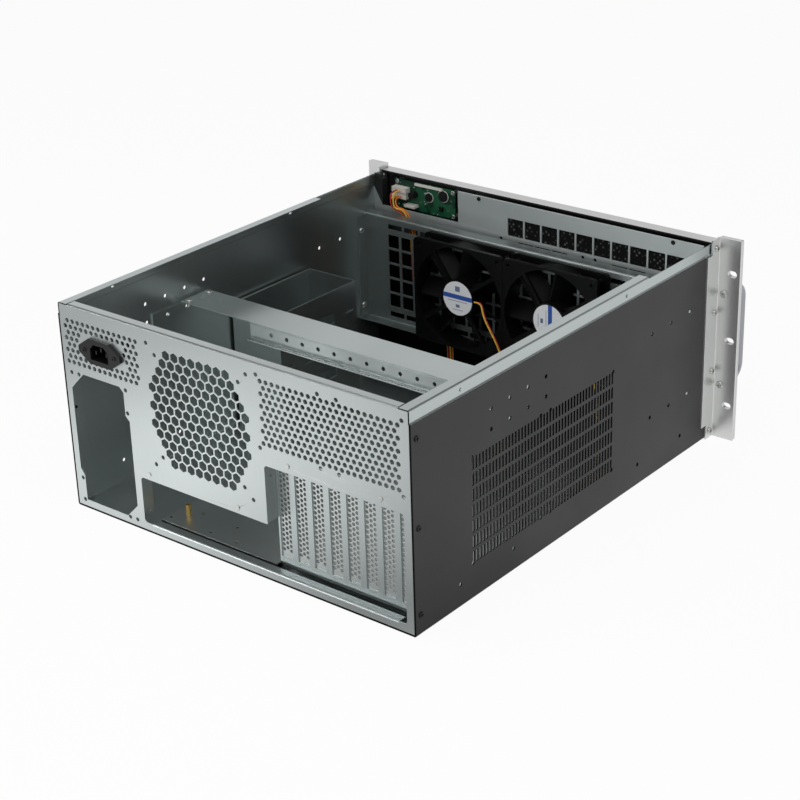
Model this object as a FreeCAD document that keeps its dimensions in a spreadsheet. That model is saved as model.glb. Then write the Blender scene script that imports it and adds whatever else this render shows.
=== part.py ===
import FreeCAD, Part

import math
import os
import re
import types

import Sketcher
from FreeCAD import Vector

# Driving dimensions in millimetres.  Heights count from the underside of the floor, widths from
# the middle of the case, and depths from the rack plane, the back of the mounting ears.
SIZES = {
    # folded body
    "case_width": 430.0,
    "case_height": 218.0,
    "case_depth": 500.0,
    "steel": 1.2,
    "bend": 1.0,
    "strip_height": 12.5,
    "top_flange": 11.2,
    "top_flange_front": 128.5,
    "strip_front": 10.5,
    "cover_hole": 1.7,
    "cover_hole_drop": 6.5,
    "cover_hole_front": 168.0,
    "cover_hole_rear": 430.0,
    # side vents
    "vent_front": 192.5,
    "vent_bottom": 36.2,
    "vent_pitch": 4.95,
    "vent_columns": 46,
    "vent_rows": 7,
    "vent_slot_width": 2.8,
    "vent_slot_height": 12.0,
    "vent_row_pitch": 15.55,
    "wall_hole": 2.1,
    "side_fan_front": 243.5,
    "side_fan_pitch": 120.5,
    "side_fan_height": 89.3,
    "bar_hole_front": 303.5,
    "bar_hole_pitch": 28.0,
    "bar_hole_rise": 10.5,
    "bar_hole_gap": 20.0,
    "wall_hole_front": 51.5,
    "wall_hole_pitch": 35.3,
    "wall_hole_high": 157.0,
    "wall_hole_low": 67.0,
    "foot_hole_height": 23.5,
    "foot_hole_front": 62.5,
    "foot_hole_pitch": 81.0,
    "foot_hole_rear": 354.5,
    "rear_screw_inset": 7.5,
    "rear_screw_low": 20.0,
    "rear_screw_drop": 28.0,
    # rear panel
    "panel_side_flange": 21.0,
    "panel_top_flange": 10.0,
    "panel_lip": 9.5,
    "fan_grill_x": 33.8,
    "fan_grill_drop": 76.7,
    "hex_pitch": 10.7,
    "hex_flats": 9.0,
    "hex_side": 8,
    "hex_reach": 60.0,
    "fan_hole": 2.2,
    "small_fan_holes": 105.0,
    "large_fan_holes": 125.0,
    "mesh_fan_first": -76.9,
    "mesh_fan_holes": 71.5,
    "mesh_fan_step": 92.8,
    "mesh_fan_drop": 46.9,
    "psu_inset": 48.0,
    "psu_z": 77.9,
    "psu_holes_wide": 74.0,
    "psu_holes_tall": 138.0,
    "psu_hole_step_x": 10.0,
    "psu_hole_step_z": 24.0,
    "psu_half_width": 38.8,
    "psu_half_height": 69.5,
    "psu_rise": 1.0,
    "psu_land": 18.0,
    "io_left": 119.5,
    "io_top": 58.5,
    "io_bottom": 10.0,
    "step_x": -44.5,
    "slots_top": 118.7,
    "slots_right": 205.0,
    "rivet_radius": 2.4,
    "rivet_head": 0.8,
    "io_rivet_z": 64.5,
    "io_rivet_x": -8.0,
    # power inlet
    "inlet_inset": 56.7,
    "inlet_drop": 40.0,
    "inlet_width": 27.2,
    "inlet_height": 19.6,
    "inlet_flange": 56.0,
    "inlet_socket_width": 24.0,
    "inlet_socket_height": 16.0,
    "inlet_socket_corner": 5.0,
    "inlet_socket_depth": 16.0,
    "inlet_end": 6.0,
    "pin_pitch": 7.0,
    "pin_thick": 2.0,
    "pin_rise": 3.0,
    "pin_drop": 1.0,
    "pin_tail": 7.0,
    "inlet_screws": 40.0,
    "inlet_proud": 3.5,
    "inlet_depth": 22.0,
    "fit_gap": 0.3,
    # expansion slots
    "slot_count": 8,
    "slot_pitch": 20.32,
    "slot_window": 13.4,
    "slot_first": -53.7,
    "slot_bottom": 19.0,
    "slot_recess": 14.0,
    "slot_foot_bend": 6.6,
    "slot_foot": 8.7,
    "foot_slot_length": 17.0,
    "foot_slot_width": 2.2,
    "slot_rivet_z": 125.8,
    "cover_sheet": 0.9,
    "cover_width": 18.4,
    # motherboard tray
    "tray_top": 9.5,
    "tray_left": 111.5,
    "tray_end_gap": 13.5,
    "tray_front": 150.0,
    "standoff_x": 94.5,
    "standoff_inset": 35.0,
    "board_hole_middle": 124.46,
    "board_hole_far": 281.94,
    "board_row_middle": 154.94,
    "board_row_far": 227.33,
    "tooling_pitch": 11.8,
    "standoff_height": 12.0,
    "standoff_flats": 5.5,
    # card hold-down bar
    "bar_drop": 50.5,
    "bar_front": 301.0,
    "bar_depth": 41.6,
    "rail_left": 114.0,
    "rail_drop": 18.2,
    "rail_lip": 5.6,
    "rail_hole": 2.2,
    "rail_hole_drop": 8.3,
    "rail_slot_length": 16.3,
    "rail_slot_width": 2.2,
    "rail_holes_left": 86.1,
    "hook_x": 196.7,
    "hook_length": 10.0,
    "bracket_height": 15.5,
    "bracket_reach": 15.0,
    "bracket_length": 80.0,
    # drive cage
    "cage_gap": 2.8,
    "cage_width": 66.0,
    "cage_front": 144.0,
    "cage_length": 124.0,
    "cage_top": 141.0,
    "cage_hem": 3.0,
    "cage_slot": 12.0,
    "cage_slot_pitch": 31.0,
    # fan wall and fans
    "fan_wall_y": 43.0,
    "fan_wall_top": 176.5,
    "fan_wall_flange": 13.5,
    "fan_z": 113.2,
    "fan_size": 120.0,
    "fan_depth": 25.0,
    "fan_middle_x": 4.5,
    "fan_radius": 57.5,
    "fan_flange": 4.5,
    "hub_radius": 21.0,
    "strut_depth": 3.5,
    "strut_width": 4.5,
    "strut_angle": 35.0,
    "axle_radius": 1.5,
    "axle_start": 5.0,
    "rotor_gap": 2.0,
    "blade_count": 7,
    "blade_tip": 56.3,
    "blade_chord": 27.0,
    "blade_angle": 49.0,
    "blade_thick": 1.5,
    "label_radius": 19.5,
    "label_thick": 0.3,
    "grid_left": 180.5,
    "grid_columns": 20,
    "grid_rows": 5,
    "grid_pitch_x": 18.4,
    "grid_pitch_z": 17.7,
    "grid_window": 15.2,
    "grid_slot_length": 20.0,
    "grid_slot_pitch": 22.6,
    "grid_slot_height": 6.0,
    # front panels
    "subpanel_y": 25.0,
    "window_size": 20.0,
    "window_pitch": 22.1,
    "window_left": 28.0,
    "window_drop": 17.5,
    "lower_window_drop": 25.0,
    "lower_window_left": 15.0,
    "lower_window_right": -104.0,
    "lower_window_rows": 6,
    "window_columns": 10,
    "display_cut_left": 95.0,
    "display_cut_drop": 12.5,
    "subpanel_screw_left": 66.4,
    "subpanel_screw_right": -177.5,
    "subpanel_screw_drop": 3.4,
    "filter_thick": 3.0,
    "plate_width": 482.6,
    "plate_rise": 3.0,
    "plate_thick": 3.5,
    "plate_lip": 14.5,
    "plate_lip_drop": 1.0,
    "plate_corner": 1.5,
    "intake_slot": 5.0,
    "intake_pitch": 9.0,
    "intake_height": 76.0,
    "intake_columns": 30,
    "intake_low": 22.0,
    "intake_right": 80.0,
    # ears and handles
    "ear_steel": 2.0,
    "ear_flange": 22.0,
    "ear_notch": 9.0,
    "ear_notch_low": 16.0,
    "ear_slot_inset": 8.75,
    "ear_slot_length": 10.5,
    "ear_slot_width": 7.0,
    "ear_slot_low": 38.1,
    "ear_slot_pitch": 73.025,
    "handle_out": 8.9,
    "handle_span": 101.0,
    "handle_reach": 36.0,
    "handle_bar": 9.0,
    "handle_bend": 14.0,
    "screw": 2.0,
    # display and buttons
    "display_x": 152.0,
    "display_drop": 23.5,
    "display_width": 84.0,
    "display_height": 33.0,
    "display_glass_width": 66.0,
    "display_glass_height": 18.0,
    "pane_inset": 0.5,
    "module_rim": 3.0,
    "pillar_radius": 2.2,
    "plug_x": 183.5,
    "plug_rise": 3.0,
    "plug_width": 20.0,
    "plug_height": 6.0,
    "plug_depth": 8.0,
    "plug_gap": 0.8,
    "header_x": 146.0,
    "header_length": 38.0,
    "header_thick": 2.5,
    "blob_radius": 5.0,
    "blob_thick": 1.2,
    "capacitor_radius": 4.0,
    "board_y": 9.0,
    "board_thick": 1.6,
    "switch_size": 6.0,
    "switch_depth": 3.5,
    "button_x": 176.0,
    "button_drop": 44.5,
    "button_radius": 6.0,
    "reset_x": 152.0,
    "reset_radius": 3.0,
    "button_gap": 0.08,
    "button_travel": 2.0,
    "button_proud": 2.5,
    "collar": 1.5,
    "light_x": 128.0,
    "light_pitch": 9.0,
    "light_radius": 1.5,
    "wire": 0.75,
}

# Sizes that follow others.
TIES = {
    "rear_screw_pitch": "(case_height - rear_screw_low - rear_screw_drop) / 2",
    "bar_top": "case_height - bar_drop",
    "bar_hole_high": "bar_top + bar_hole_rise",
    "bar_hole_low": "bar_hole_high - bar_hole_gap",
    "bracket_bottom": "bar_top - bracket_height",
    "fan_grill_z": "case_height - fan_grill_drop",
    "mesh_fan_z": "case_height - mesh_fan_drop",
    "psu_x": "case_width / 2 - psu_inset",
    "inlet_x": "case_width / 2 - inlet_inset",
    "inlet_z": "case_height - inlet_drop",
    "tray_rear": "case_depth - tray_end_gap",
    "standoff_y": "case_depth - standoff_inset",
    "cage_right": "case_width / 2 - steel - cage_gap",
    "fan_wall_bottom": "fan_z - fan_size / 2 - steel - bend",
    "window_top": "case_height - window_drop",
    "lower_window_top": "window_top - lower_window_drop",
    "plate_height": "case_height + plate_rise",
    "plate_lip_top": "case_height - plate_lip_drop",
    "ear_notch_high": "plate_height - ear_notch_low",
    "ear_slot_x": "plate_width / 2 - ear_slot_inset",
    "handle_x": "case_width / 2 + handle_out",
    "handle_low": "(plate_height - handle_span) / 2",
    "display_z": "case_height - display_drop",
    "display_cut_bottom": "display_z - display_cut_drop",
    "plug_z": "display_z + plug_rise",
    "button_z": "display_z - button_drop",
}

doc = FreeCAD.newDocument("RackCase")
sheet = doc.addObject("Spreadsheet::Sheet", "Sizes")
for row, (alias, number) in enumerate(SIZES.items(), start=1):
    sheet.set(f"A{row}", alias)
    sheet.set(f"B{row}", str(number))
    sheet.setAlias(f"B{row}", alias)
doc.recompute()

# s.NAME is the number that the sheet holds under that alias, or that follows from its cells.
s = types.SimpleNamespace(**{alias: float(sheet.get(alias)) for alias in SIZES})

# Depth of the rack plane in the finished frame, whose origin is the middle of the whole case.
RACK = "(handle_reach + plate_thick + ear_steel - case_depth - inlet_proud) / 2"
TINY = 1e-4
NODES = []


# ---- pieces bound to the sheet ----

def formula(text):
    """An expression in which every known size reads its cell in the sheet."""
    def cell(word):
        name = word.group()
        if name in TIES:
            return f"({formula(TIES[name])})"
        return "Sizes." + name if name in SIZES else name
    return re.sub(r"[a-z]\w*", cell, str(text))


def bind(piece, prop, text):
    piece.setExpression(prop, formula(text))


gauge = doc.addObject("App::FeaturePython", "Gauge")
gauge.addProperty("App::PropertyFloat", "Reading")
for alias, expression in TIES.items():
    bind(gauge, "Reading", expression)
    gauge.recompute()
    setattr(s, alias, gauge.Reading)


def slab(name, x, y, z):
    """A box between two expressions along each axis."""
    box = doc.addObject("Part::Box", name)
    for prop, axis, (low, high) in (("Length", "x", x), ("Width", "y", y), ("Height", "z", z)):
        bind(box, prop, f"({high}) - ({low})")
        bind(box, f"Placement.Base.{axis}", low)
    return box


AXIS_TURN = {
    "x": FreeCAD.Rotation(Vector(0, 1, 0), 90),
    "y": FreeCAD.Rotation(Vector(1, 0, 0), -90),
    "z": FreeCAD.Rotation(),
}


def rod(name, axis, radius, low, high, x=0, y=0, z=0):
    """A round bar from low to high along an axis, through the point given for the other two."""
    bar = doc.addObject("Part::Cylinder", name)
    bar.Placement = FreeCAD.Placement(Vector(), AXIS_TURN[axis])
    bind(bar, "Radius", radius)
    bind(bar, "Height", f"({high}) - ({low})")
    places = {"x": x, "y": y, "z": z}
    places[axis] = low
    for letter, place in places.items():
        bind(bar, f"Placement.Base.{letter}", place)
    return bar


def shape(name, solid):
    """A shape worked out from the sheet's sizes, where no single feature makes it."""
    piece = doc.addObject("Part::Feature", name)
    piece.Shape = solid
    return piece


def fuse(name, *pieces):
    whole = doc.addObject("Part::MultiFuse", name)
    whole.Shapes = list(pieces)
    whole.Refine = True
    return whole


def group(name, *pieces):
    """Separate solids that make one node."""
    together = doc.addObject("Part::Compound", name)
    together.Links = list(pieces)
    return together


def cut(name, base, *tools):
    result = doc.addObject("Part::Cut", name)
    result.Base = base
    result.Tool = tools[0] if len(tools) == 1 else group(name + "_tools", *tools)
    result.Refine = True
    return result


def node(label, piece):
    """Names a finished sub-part and moves it from the rack plane to the frame of the case."""
    if piece.TypeId in ("Part::Box", "Part::Cylinder"):
        piece = group(label, piece)
    piece.Label = label
    bind(piece, "Placement.Base.y", RACK)
    NODES.append(piece)
    return piece


# ---- drawn profiles ----

# Each plane's direction for its pad: a sketch on XZ looks back along y.
DRAWN = {"xy": 1, "yz": 1, "xz": -1}


def drawn_body(name, plane, corners, low, high):
    """A body padded from a closed outline whose corners are pairs of expressions."""
    body = doc.addObject("PartDesign::Body", name)
    sketch = body.newObject("Sketcher::SketchObject", name + "_profile")
    role = plane.upper() + "_Plane"
    support = [item for item in body.Origin.OriginFeatures if item.Role == role][0]
    sketch.AttachmentSupport = [(support, "")]
    sketch.MapMode = "FlatFace"
    start = low if DRAWN[plane] > 0 else f"-({high})"
    bind(sketch, "AttachmentOffset.Base.z", start)
    count = len(corners)
    for k in range(count):
        following = (k + 1) % count
        line = Part.LineSegment(Vector(k, k * k, 0), Vector(following, following ** 2, 0))
        sketch.addGeometry(line, False)
    for k in range(count):
        sketch.addConstraint(Sketcher.Constraint("Coincident", k, 2, (k + 1) % count, 1))
    for k, (u, v) in enumerate(corners):
        across = sketch.addConstraint(Sketcher.Constraint("DistanceX", -1, 1, k, 1, float(k)))
        bind(sketch, f"Constraints[{across}]", u)
        along = sketch.addConstraint(Sketcher.Constraint("DistanceY", -1, 1, k, 1, float(k * k)))
        bind(sketch, f"Constraints[{along}]", v)
    pad = body.newObject("PartDesign::Pad", name + "_pad")
    pad.Profile = sketch
    bind(pad, "Length", f"({high}) - ({low})")
    return body, sketch, pad


AXES = (Vector(1, 0, 0), Vector(0, 1, 0), Vector(0, 0, 1))


def edges_at(feature, spots):
    """Names of the straight edges that stand on any of the given corners of the sketch."""
    found = []
    for number, edge in enumerate(feature.Shape.Edges, start=1):
        ends = [vertex.Point for vertex in edge.Vertexes]
        if any((end - spot).Length < TINY for end in ends for spot in spots):
            run = (ends[1] - ends[0]).normalize()
            if all(abs(run.dot(other)) > 1 - TINY or abs(run.dot(other)) < TINY for other in AXES):
                found.append((f"Edge{number}", run))
    return found


def rounded(body, feature, plane, spots, radius, name):
    """Rounds the edges that the pad drew from some corners of its sketch."""
    doc.recompute()
    normal = {"xy": AXES[2], "yz": AXES[0], "xz": AXES[1]}[plane]
    names = [edge for edge, run in edges_at(feature, spots) if abs(run.dot(normal)) > 1 - TINY]
    fillet = body.newObject("PartDesign::Fillet", name)
    fillet.Base = (feature, names)
    bind(fillet, "Radius", radius)
    return fillet


def profile(name, plane, corners, low, high, rounds=()):
    """A padded outline; rounds pairs some corner numbers with the radius they get."""
    body, sketch, feature = drawn_body(name, plane, corners, low, high)
    doc.recompute()
    spots = [sketch.Placement.multVec(line.StartPoint) for line in sketch.Geometry]
    for turn, (numbers, radius) in enumerate(rounds):
        feature = rounded(body, feature, plane, [spots[k] for k in numbers], radius, f"{name}_round_{turn}")
    return body


def folded(name, plane, path, low, high, thick="steel", swept=None):
    """A folded sheet.  Each corner of the path is (u, v, du, dv): the sheet's other face lies du and
    dv thicknesses away.  Square corners get the sheet's bend radius inside and one thickness more
    outside; swept pairs one corner's number with a wide outside radius of its own."""
    near = [(u, v) for u, v, _, _ in path]
    far = [(f"({u}) + ({du}) * {thick}", f"({v}) + ({dv}) * {thick}") for u, v, du, dv in path]
    body, sketch, feature = drawn_body(name, plane, near + far[::-1], low, high)
    doc.recompute()
    spots = [sketch.Placement.multVec(line.StartPoint) for line in sketch.Geometry]
    count = len(path)
    tight = []
    wide = []
    sweep = {}
    for k in range(1, count - 1):
        if abs(path[k][2]) != 1 or abs(path[k][3]) != 1:
            continue
        here = spots[k]
        other = spots[2 * count - 1 - k]
        into_bend = (spots[k - 1] - here).normalize() + (spots[k + 1] - here).normalize()
        outer, inner = (here, other) if into_bend.dot(other - here) > 0 else (other, here)
        if swept and swept[0] == k:
            sweep = {"outside": (outer, swept[1]), "inside": (inner, f"{swept[1]} - {thick}")}
        else:
            wide.append(outer)
            tight.append(inner)
    if tight:
        feature = rounded(body, feature, plane, tight, "bend", name + "_inside_bends")
        feature = rounded(body, feature, plane, wide, f"bend + {thick}", name + "_outside_bends")
    for face, (spot, radius) in sweep.items():
        feature = rounded(body, feature, plane, [spot], radius, f"{name}_swept_{face}")
    return body


# ---- hole patterns and cables, worked out from the sheet ----

ACROSS = {
    "x": (lambda u, v: Vector(0, u, v), AXES[0]),
    "y": (lambda u, v: Vector(u, 0, v), AXES[1]),
    "z": (lambda u, v: Vector(u, v, 0), AXES[2]),
}


def holes(name, centres, radius, axis, low, high):
    """Round drills through (u, v) centres: (x, z) along y, (y, z) along x, (x, y) along z."""
    place, direction = ACROSS[axis]
    drills = [Part.makeCylinder(radius, high - low, place(u, v) + direction * low, direction)
              for u, v in centres]
    return shape(name, Part.makeCompound(drills))


def punch(corners, axis, low, high):
    """A straight tool with a polygon outline, along an axis."""
    place, direction = ACROSS[axis]
    points = [place(u, v) + direction * low for u, v in corners]
    return Part.Face(Part.makePolygon(points + points[:1])).extrude(direction * (high - low))


def rectangle(u, v, width, height):
    """Corners of a rectangle about its middle."""
    return [(u - width / 2, v - height / 2), (u + width / 2, v - height / 2),
            (u + width / 2, v + height / 2), (u - width / 2, v + height / 2)]


def punches(name, outlines, axis, low, high):
    return shape(name, Part.makeCompound([punch(corners, axis, low, high) for corners in outlines]))


def square(centre_u, centre_v, pitch_u, pitch_v=None):
    """Four corners of a hole pattern."""
    pitch_v = pitch_u if pitch_v is None else pitch_v
    return [(centre_u + a * pitch_u / 2, centre_v + b * pitch_v / 2) for a in (-1, 1) for b in (-1, 1)]


def screws(name, spots, axis, head_low, head_high, tip, head, shank):
    """Round-headed screws: the head lies between two places, the shank runs on to the tip."""
    place, direction = ACROSS[axis]
    solids = []
    for u, v in spots:
        cap = Part.makeCylinder(head, head_high - head_low, place(u, v) + direction * head_low, direction)
        rim = [edge for edge in cap.Edges if cap_rim(edge, direction, head_low, head_high, tip)]
        cap = cap.makeChamfer((head_high - head_low) * RIM_SHARE, rim)
        low, high = sorted((head_low if tip > head_low else head_high, tip))
        pin = Part.makeCylinder(shank, high - low, place(u, v) + direction * low, direction)
        solids.append(cap.fuse(pin).removeSplitter())
    return shape(name, Part.makeCompound(solids))


# Share of a screw head's height that its chamfer takes.
RIM_SHARE = 0.4


def cap_rim(edge, direction, head_low, head_high, tip):
    """True for the rim on the side of the head away from the tip."""
    away = head_low if tip > head_high else head_high
    return len(edge.Vertexes) == 1 and abs(edge.Vertexes[0].Point.dot(direction) - away) < TINY


def cable(name, points, radius):
    """A wire along straight runs joined by tangent arcs; returns its solid."""
    points = [Vector(*point) for point in points]
    runs = [(b - a) for a, b in zip(points, points[1:])]
    edges = []
    start = points[0]
    tightest = math.inf
    for k in range(1, len(points) - 1):
        before, after = runs[k - 1], runs[k]
        turn = before.getAngle(after)
        bend_radius = 0.45 * min(before.Length, after.Length) / math.tan(turn / 2)
        tightest = min(tightest, bend_radius)
        setback = bend_radius * math.tan(turn / 2)
        arrive, leave = Vector(before).normalize(), Vector(after).normalize()
        enter = points[k] - arrive * setback
        depart = points[k] + leave * setback
        inward = (leave - arrive).normalize()
        middle = points[k] + inward * (bend_radius / math.cos(turn / 2) - bend_radius)
        edges.append(Part.LineSegment(start, enter).toShape())
        edges.append(Part.Arc(enter, middle, depart).toShape())
        start = depart
    edges.append(Part.LineSegment(start, points[-1]).toShape())
    route = Part.Wire(edges)
    ring = Part.Wire([Part.Circle(points[0], runs[0], radius).toShape()])
    solid = route.makePipeShell([ring], True, False)
    expected = math.pi * radius ** 2 * route.Length
    print(f"{name}: smallest bend {tightest:.1f}, length {route.Length:.0f}, "
          f"volume {solid.Volume / expected:.3f} of section x length")
    return solid


# Numbers that several hole patterns share.
half = s.case_width / 2
wall_in = half - s.steel
panel_back = s.case_depth - s.steel
RUN_OUT = 1.0
SIN_60 = math.sin(math.radians(60))


# ---- body ----

WALL_OUT = "case_width / 2"
WALL_IN = "(case_width / 2 - steel)"
PANEL_BACK = "(case_depth - steel)"
STRIP_LOW = "(case_height - strip_height)"
# A 45 degree step moves the inner corners of a sheet by this share of its thickness.
JOGGLE = round(math.tan(math.radians(22.5)), 3)


def chassis():
    """Floor and side walls in one folded sheet; the walls step in near the top for the cover's skirt
    and turn in as flanges."""
    right = [
        (WALL_OUT, "0", -1, 1),
        (WALL_OUT, STRIP_LOW, -1, -JOGGLE),
        (f"{WALL_OUT} - steel", f"{STRIP_LOW} + steel", -1, -JOGGLE),
        (f"{WALL_OUT} - steel", "case_height", -1, -1),
        (f"{WALL_OUT} - steel - top_flange", "case_height", 0, -1),
    ]
    left = [(f"-({u})", v, -du, dv) for u, v, du, dv in right]
    body = folded("chassis_sheet", "xz", left[::-1] + right, "0", "case_depth")
    top = s.case_height
    trims = []
    for side in (-1, 1):
        flange = side * (half - 2 * s.steel - s.top_flange / 2)
        trims.append(punch(rectangle(flange, top, s.top_flange + 2 * RUN_OUT, 4 * s.steel), "y",
                           -RUN_OUT, s.top_flange_front))
        trims.append(punch(rectangle(side * half, top, 4 * s.steel + 2 * s.bend,
                                     2 * (s.strip_height - s.steel)), "y", -RUN_OUT, s.strip_front))
    trims_piece = shape("chassis_trims", Part.makeCompound(trims))
    cover_holes = holes("cover_holes", [(y, top - s.cover_hole_drop)
                                        for y in (s.cover_hole_front, s.cover_hole_rear)],
                        s.cover_hole, "x", -half - RUN_OUT, half + RUN_OUT)
    slots = [rectangle(s.vent_front + column * s.vent_pitch, s.vent_bottom + row * s.vent_row_pitch
                       + s.vent_slot_height / 2, s.vent_slot_width, s.vent_slot_height)
             for row in range(int(s.vent_rows)) for column in range(int(s.vent_columns))]
    vents = punches("side_vents", slots, "x", -half - RUN_OUT, -wall_in + RUN_OUT)
    both = rear_screw_spots()
    both += [(s.bar_hole_front + k * s.bar_hole_pitch, z) for k in range(4)
             for z in (s.bar_hole_high, s.bar_hole_low)]
    both += [(s.wall_hole_front + k * s.wall_hole_pitch, z) for k in range(3)
             for z in (s.wall_hole_high, s.wall_hole_low)]
    both += [(start + k * s.foot_hole_pitch, s.foot_hole_height)
             for start in (s.foot_hole_front, s.foot_hole_rear) for k in range(2)]
    wall_holes = holes("wall_holes", both, s.wall_hole, "x", -half - RUN_OUT, half + RUN_OUT)
    corners = []
    for k in range(2):
        corners += square(s.side_fan_front + k * s.side_fan_pitch, s.side_fan_height, s.small_fan_holes)
    fan_holes = holes("side_fan_holes", corners, s.wall_hole, "x", -half - RUN_OUT, -wall_in + RUN_OUT)
    ear_holes = holes("ear_screw_holes", ear_screw_spots(), s.cover_hole, "x", -half - RUN_OUT,
                      half + RUN_OUT)
    node("chassis", cut("chassis", body, trims_piece, cover_holes, vents, wall_holes, fan_holes, ear_holes))


def hex_centres():
    """A hexagonal field of cells, cut off square at the left and right."""
    centres = []
    side = int(s.hex_side)
    for row in range(2 - side, side - 1):
        count = 2 * side - 2 - abs(row)
        while (count - 1) / 2 * s.hex_pitch > s.hex_reach:
            count -= 2
        z = s.fan_grill_z + row * s.hex_pitch * SIN_60
        centres += [(s.fan_grill_x + (k - (count - 1) / 2) * s.hex_pitch, z) for k in range(count)]
    return centres


def hexagon(u, v, flats):
    """Corners of a hexagon that stands on a point."""
    reach = flats / math.sqrt(3)
    return [(u + reach * math.sin(math.radians(60 * k)), v + reach * math.cos(math.radians(60 * k)))
            for k in range(6)]


def psu_outline():
    """Opening for an upright power supply; its cut corners leave metal round the supply's screws."""
    left, right = s.psu_x - s.psu_half_width, s.psu_x + s.psu_half_width
    low, high = s.psu_z + s.psu_rise - s.psu_half_height, s.psu_z + s.psu_rise + s.psu_half_height
    land, near, far = s.psu_land, s.psu_hole_step_x / 2, s.psu_hole_step_z
    return [(right, high - land), (right - land, high), (left + 2 * near, high), (left + near, high - near),
            (left + near, high - far - near), (left, high - far - 2 * near), (left, low + 3 * near),
            (left + 3 * near, low), (right - near, low), (right - near, low + far + near / 2),
            (right, low + far + 2 * near)]


def psu_screws():
    """The standard four screws of a power supply, and the four of its turned position."""
    wide, tall = s.psu_holes_wide / 2, s.psu_holes_tall / 2
    inner_x, inner_z = wide - s.psu_hole_step_x, tall - s.psu_hole_step_z
    places = ((wide, tall), (inner_x, tall), (-wide, tall), (-wide, inner_z),
              (wide, -tall), (wide, -inner_z), (-inner_x, -tall), (-wide, -tall))
    return [(s.psu_x + across, s.psu_z + up) for across, up in places]


def rear_panel():
    """Pressed panel between the walls, with flanges on both sides, along the top and in its opening."""
    shoulder = f"{STRIP_LOW} - steel"
    edge = f"({WALL_IN} - steel - fit_gap)"
    face = profile("rear_face", "xz", [
        (f"-{WALL_IN}", "steel"), (WALL_IN, "steel"), (WALL_IN, shoulder), (edge, shoulder),
        (edge, "case_height - steel"), (f"-{edge}", "case_height - steel"), (f"-{edge}", shoulder),
        (f"-{WALL_IN}", shoulder)], PANEL_BACK, "case_depth")
    flange_end = f"({WALL_IN} - steel - top_flange - fit_gap)"
    top = folded("rear_top_flange", "yz", [
        ("case_depth", "case_height - 3 * steel", -1, 0), ("case_depth", "case_height", -1, -1),
        ("case_depth - panel_top_flange", "case_height", 0, -1)], f"-{flange_end}", flange_end)
    lip_ends = ("-slots_right + panel_lip", "io_left - panel_lip")
    lip = folded("opening_lip", "yz", [
        ("case_depth", "3 * steel", -1, 0), ("case_depth", "io_bottom", -1, -1),
        ("case_depth - panel_lip", "io_bottom", 0, -1)], *lip_ends)
    behind_lip = slab("behind_lip", lip_ends, (f"{PANEL_BACK} - steel", "case_depth + steel"),
                      ("3 * steel", "io_bottom + steel"))
    pieces = [cut("rear_face_trimmed", face, behind_lip), top, lip]
    flange_top = f"{shoulder} - steel"
    for side, low, high in (("left", f"-{WALL_IN}", f"-{WALL_IN} + steel"),
                            ("right", f"{WALL_IN} - steel", WALL_IN)):
        pieces.append(slab("rear_flange_" + side, (low, high),
                           ("case_depth - panel_side_flange", PANEL_BACK), ("3 * steel", flange_top)))
    pieces.append(slab("step_flange", ("step_x", "step_x + steel"),
                       ("case_depth - slot_recess + fit_gap", PANEL_BACK), ("io_top + steel", "slots_top")))
    pieces.append(slab("io_flange", ("io_left", "io_left + steel"),
                       ("case_depth - slot_recess", PANEL_BACK), ("io_bottom + 4 * steel", "io_top")))
    whole = fuse("rear_panel_sheet", *pieces)
    low, high = panel_back - RUN_OUT, s.case_depth + RUN_OUT
    grill = punches("fan_grill", [hexagon(x, z, s.hex_flats) for x, z in hex_centres()], "y", low, high)
    supply = punches("psu_opening", [psu_outline()], "y", low, high)
    boards = profile("board_opening", "xz", [
        ("io_left", "io_top"), ("io_left", "io_bottom"), ("-slots_right", "io_bottom"),
        ("-slots_right", "slots_top"), ("step_x", "slots_top"), ("step_x", "io_top")],
        f"{PANEL_BACK} - steel / 2", "case_depth + steel", [((0, 1, 2, 3, 4), "3 * steel")])
    inlet = slab("inlet_opening", ("inlet_x - inlet_width / 2", "inlet_x + inlet_width / 2"),
                 (f"{PANEL_BACK} - steel", "case_depth + steel"),
                 ("inlet_z - inlet_height / 2", "inlet_z + inlet_height / 2"))
    centres = square(s.fan_grill_x, s.fan_grill_z, s.small_fan_holes)
    centres += square(s.fan_grill_x, s.fan_grill_z, s.large_fan_holes)
    for k in range(2):
        centres += square(s.mesh_fan_first - k * s.mesh_fan_step, s.mesh_fan_z, s.mesh_fan_holes)
    centres += psu_screws()
    round_holes = holes("rear_screw_holes", centres, s.fan_hole, "y", low, high)
    small = [(s.inlet_x + side * s.inlet_screws / 2, s.inlet_z) for side in (-1, 1)]
    small += rivet_spots()
    small_holes = holes("rear_small_holes", small, s.rivet_radius - s.rivet_head, "y", low, high)
    flange_holes = holes("flange_holes", rear_screw_spots(), s.cover_hole, "x",
                         -half - RUN_OUT, half + RUN_OUT)
    node("rear_panel", cut("rear_panel", whole, grill, supply, boards, inlet, round_holes, small_holes,
                           flange_holes))


def rivet_spots():
    """Blind rivets: two over the connector opening, two that hold the slot frame."""
    frame_rivet = s.slot_first - s.slot_pitch + s.rivet_head
    return [(s.io_left - 5 * s.rivet_radius, s.io_rivet_z), (s.io_rivet_x, s.io_rivet_z),
            (frame_rivet, s.slot_rivet_z), (frame_rivet - 5.25 * s.slot_pitch, s.slot_rivet_z)]


def rivets():
    spots = rivet_spots()
    heads = screws("rear_rivets", spots, "y", s.case_depth, s.case_depth + s.rivet_head,
                   panel_back - 2 * s.steel, s.rivet_radius, s.rivet_radius - s.rivet_head)
    node("rivets", heads)


# ---- expansion slots ----

def slot_x(index):
    """Middle of an expansion slot, the first one next to the connector opening."""
    return s.slot_first - index * s.slot_pitch


FRAME_FACE = "(case_depth - slot_recess)"
LEDGE = "(slots_top + 3 * steel)"
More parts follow.
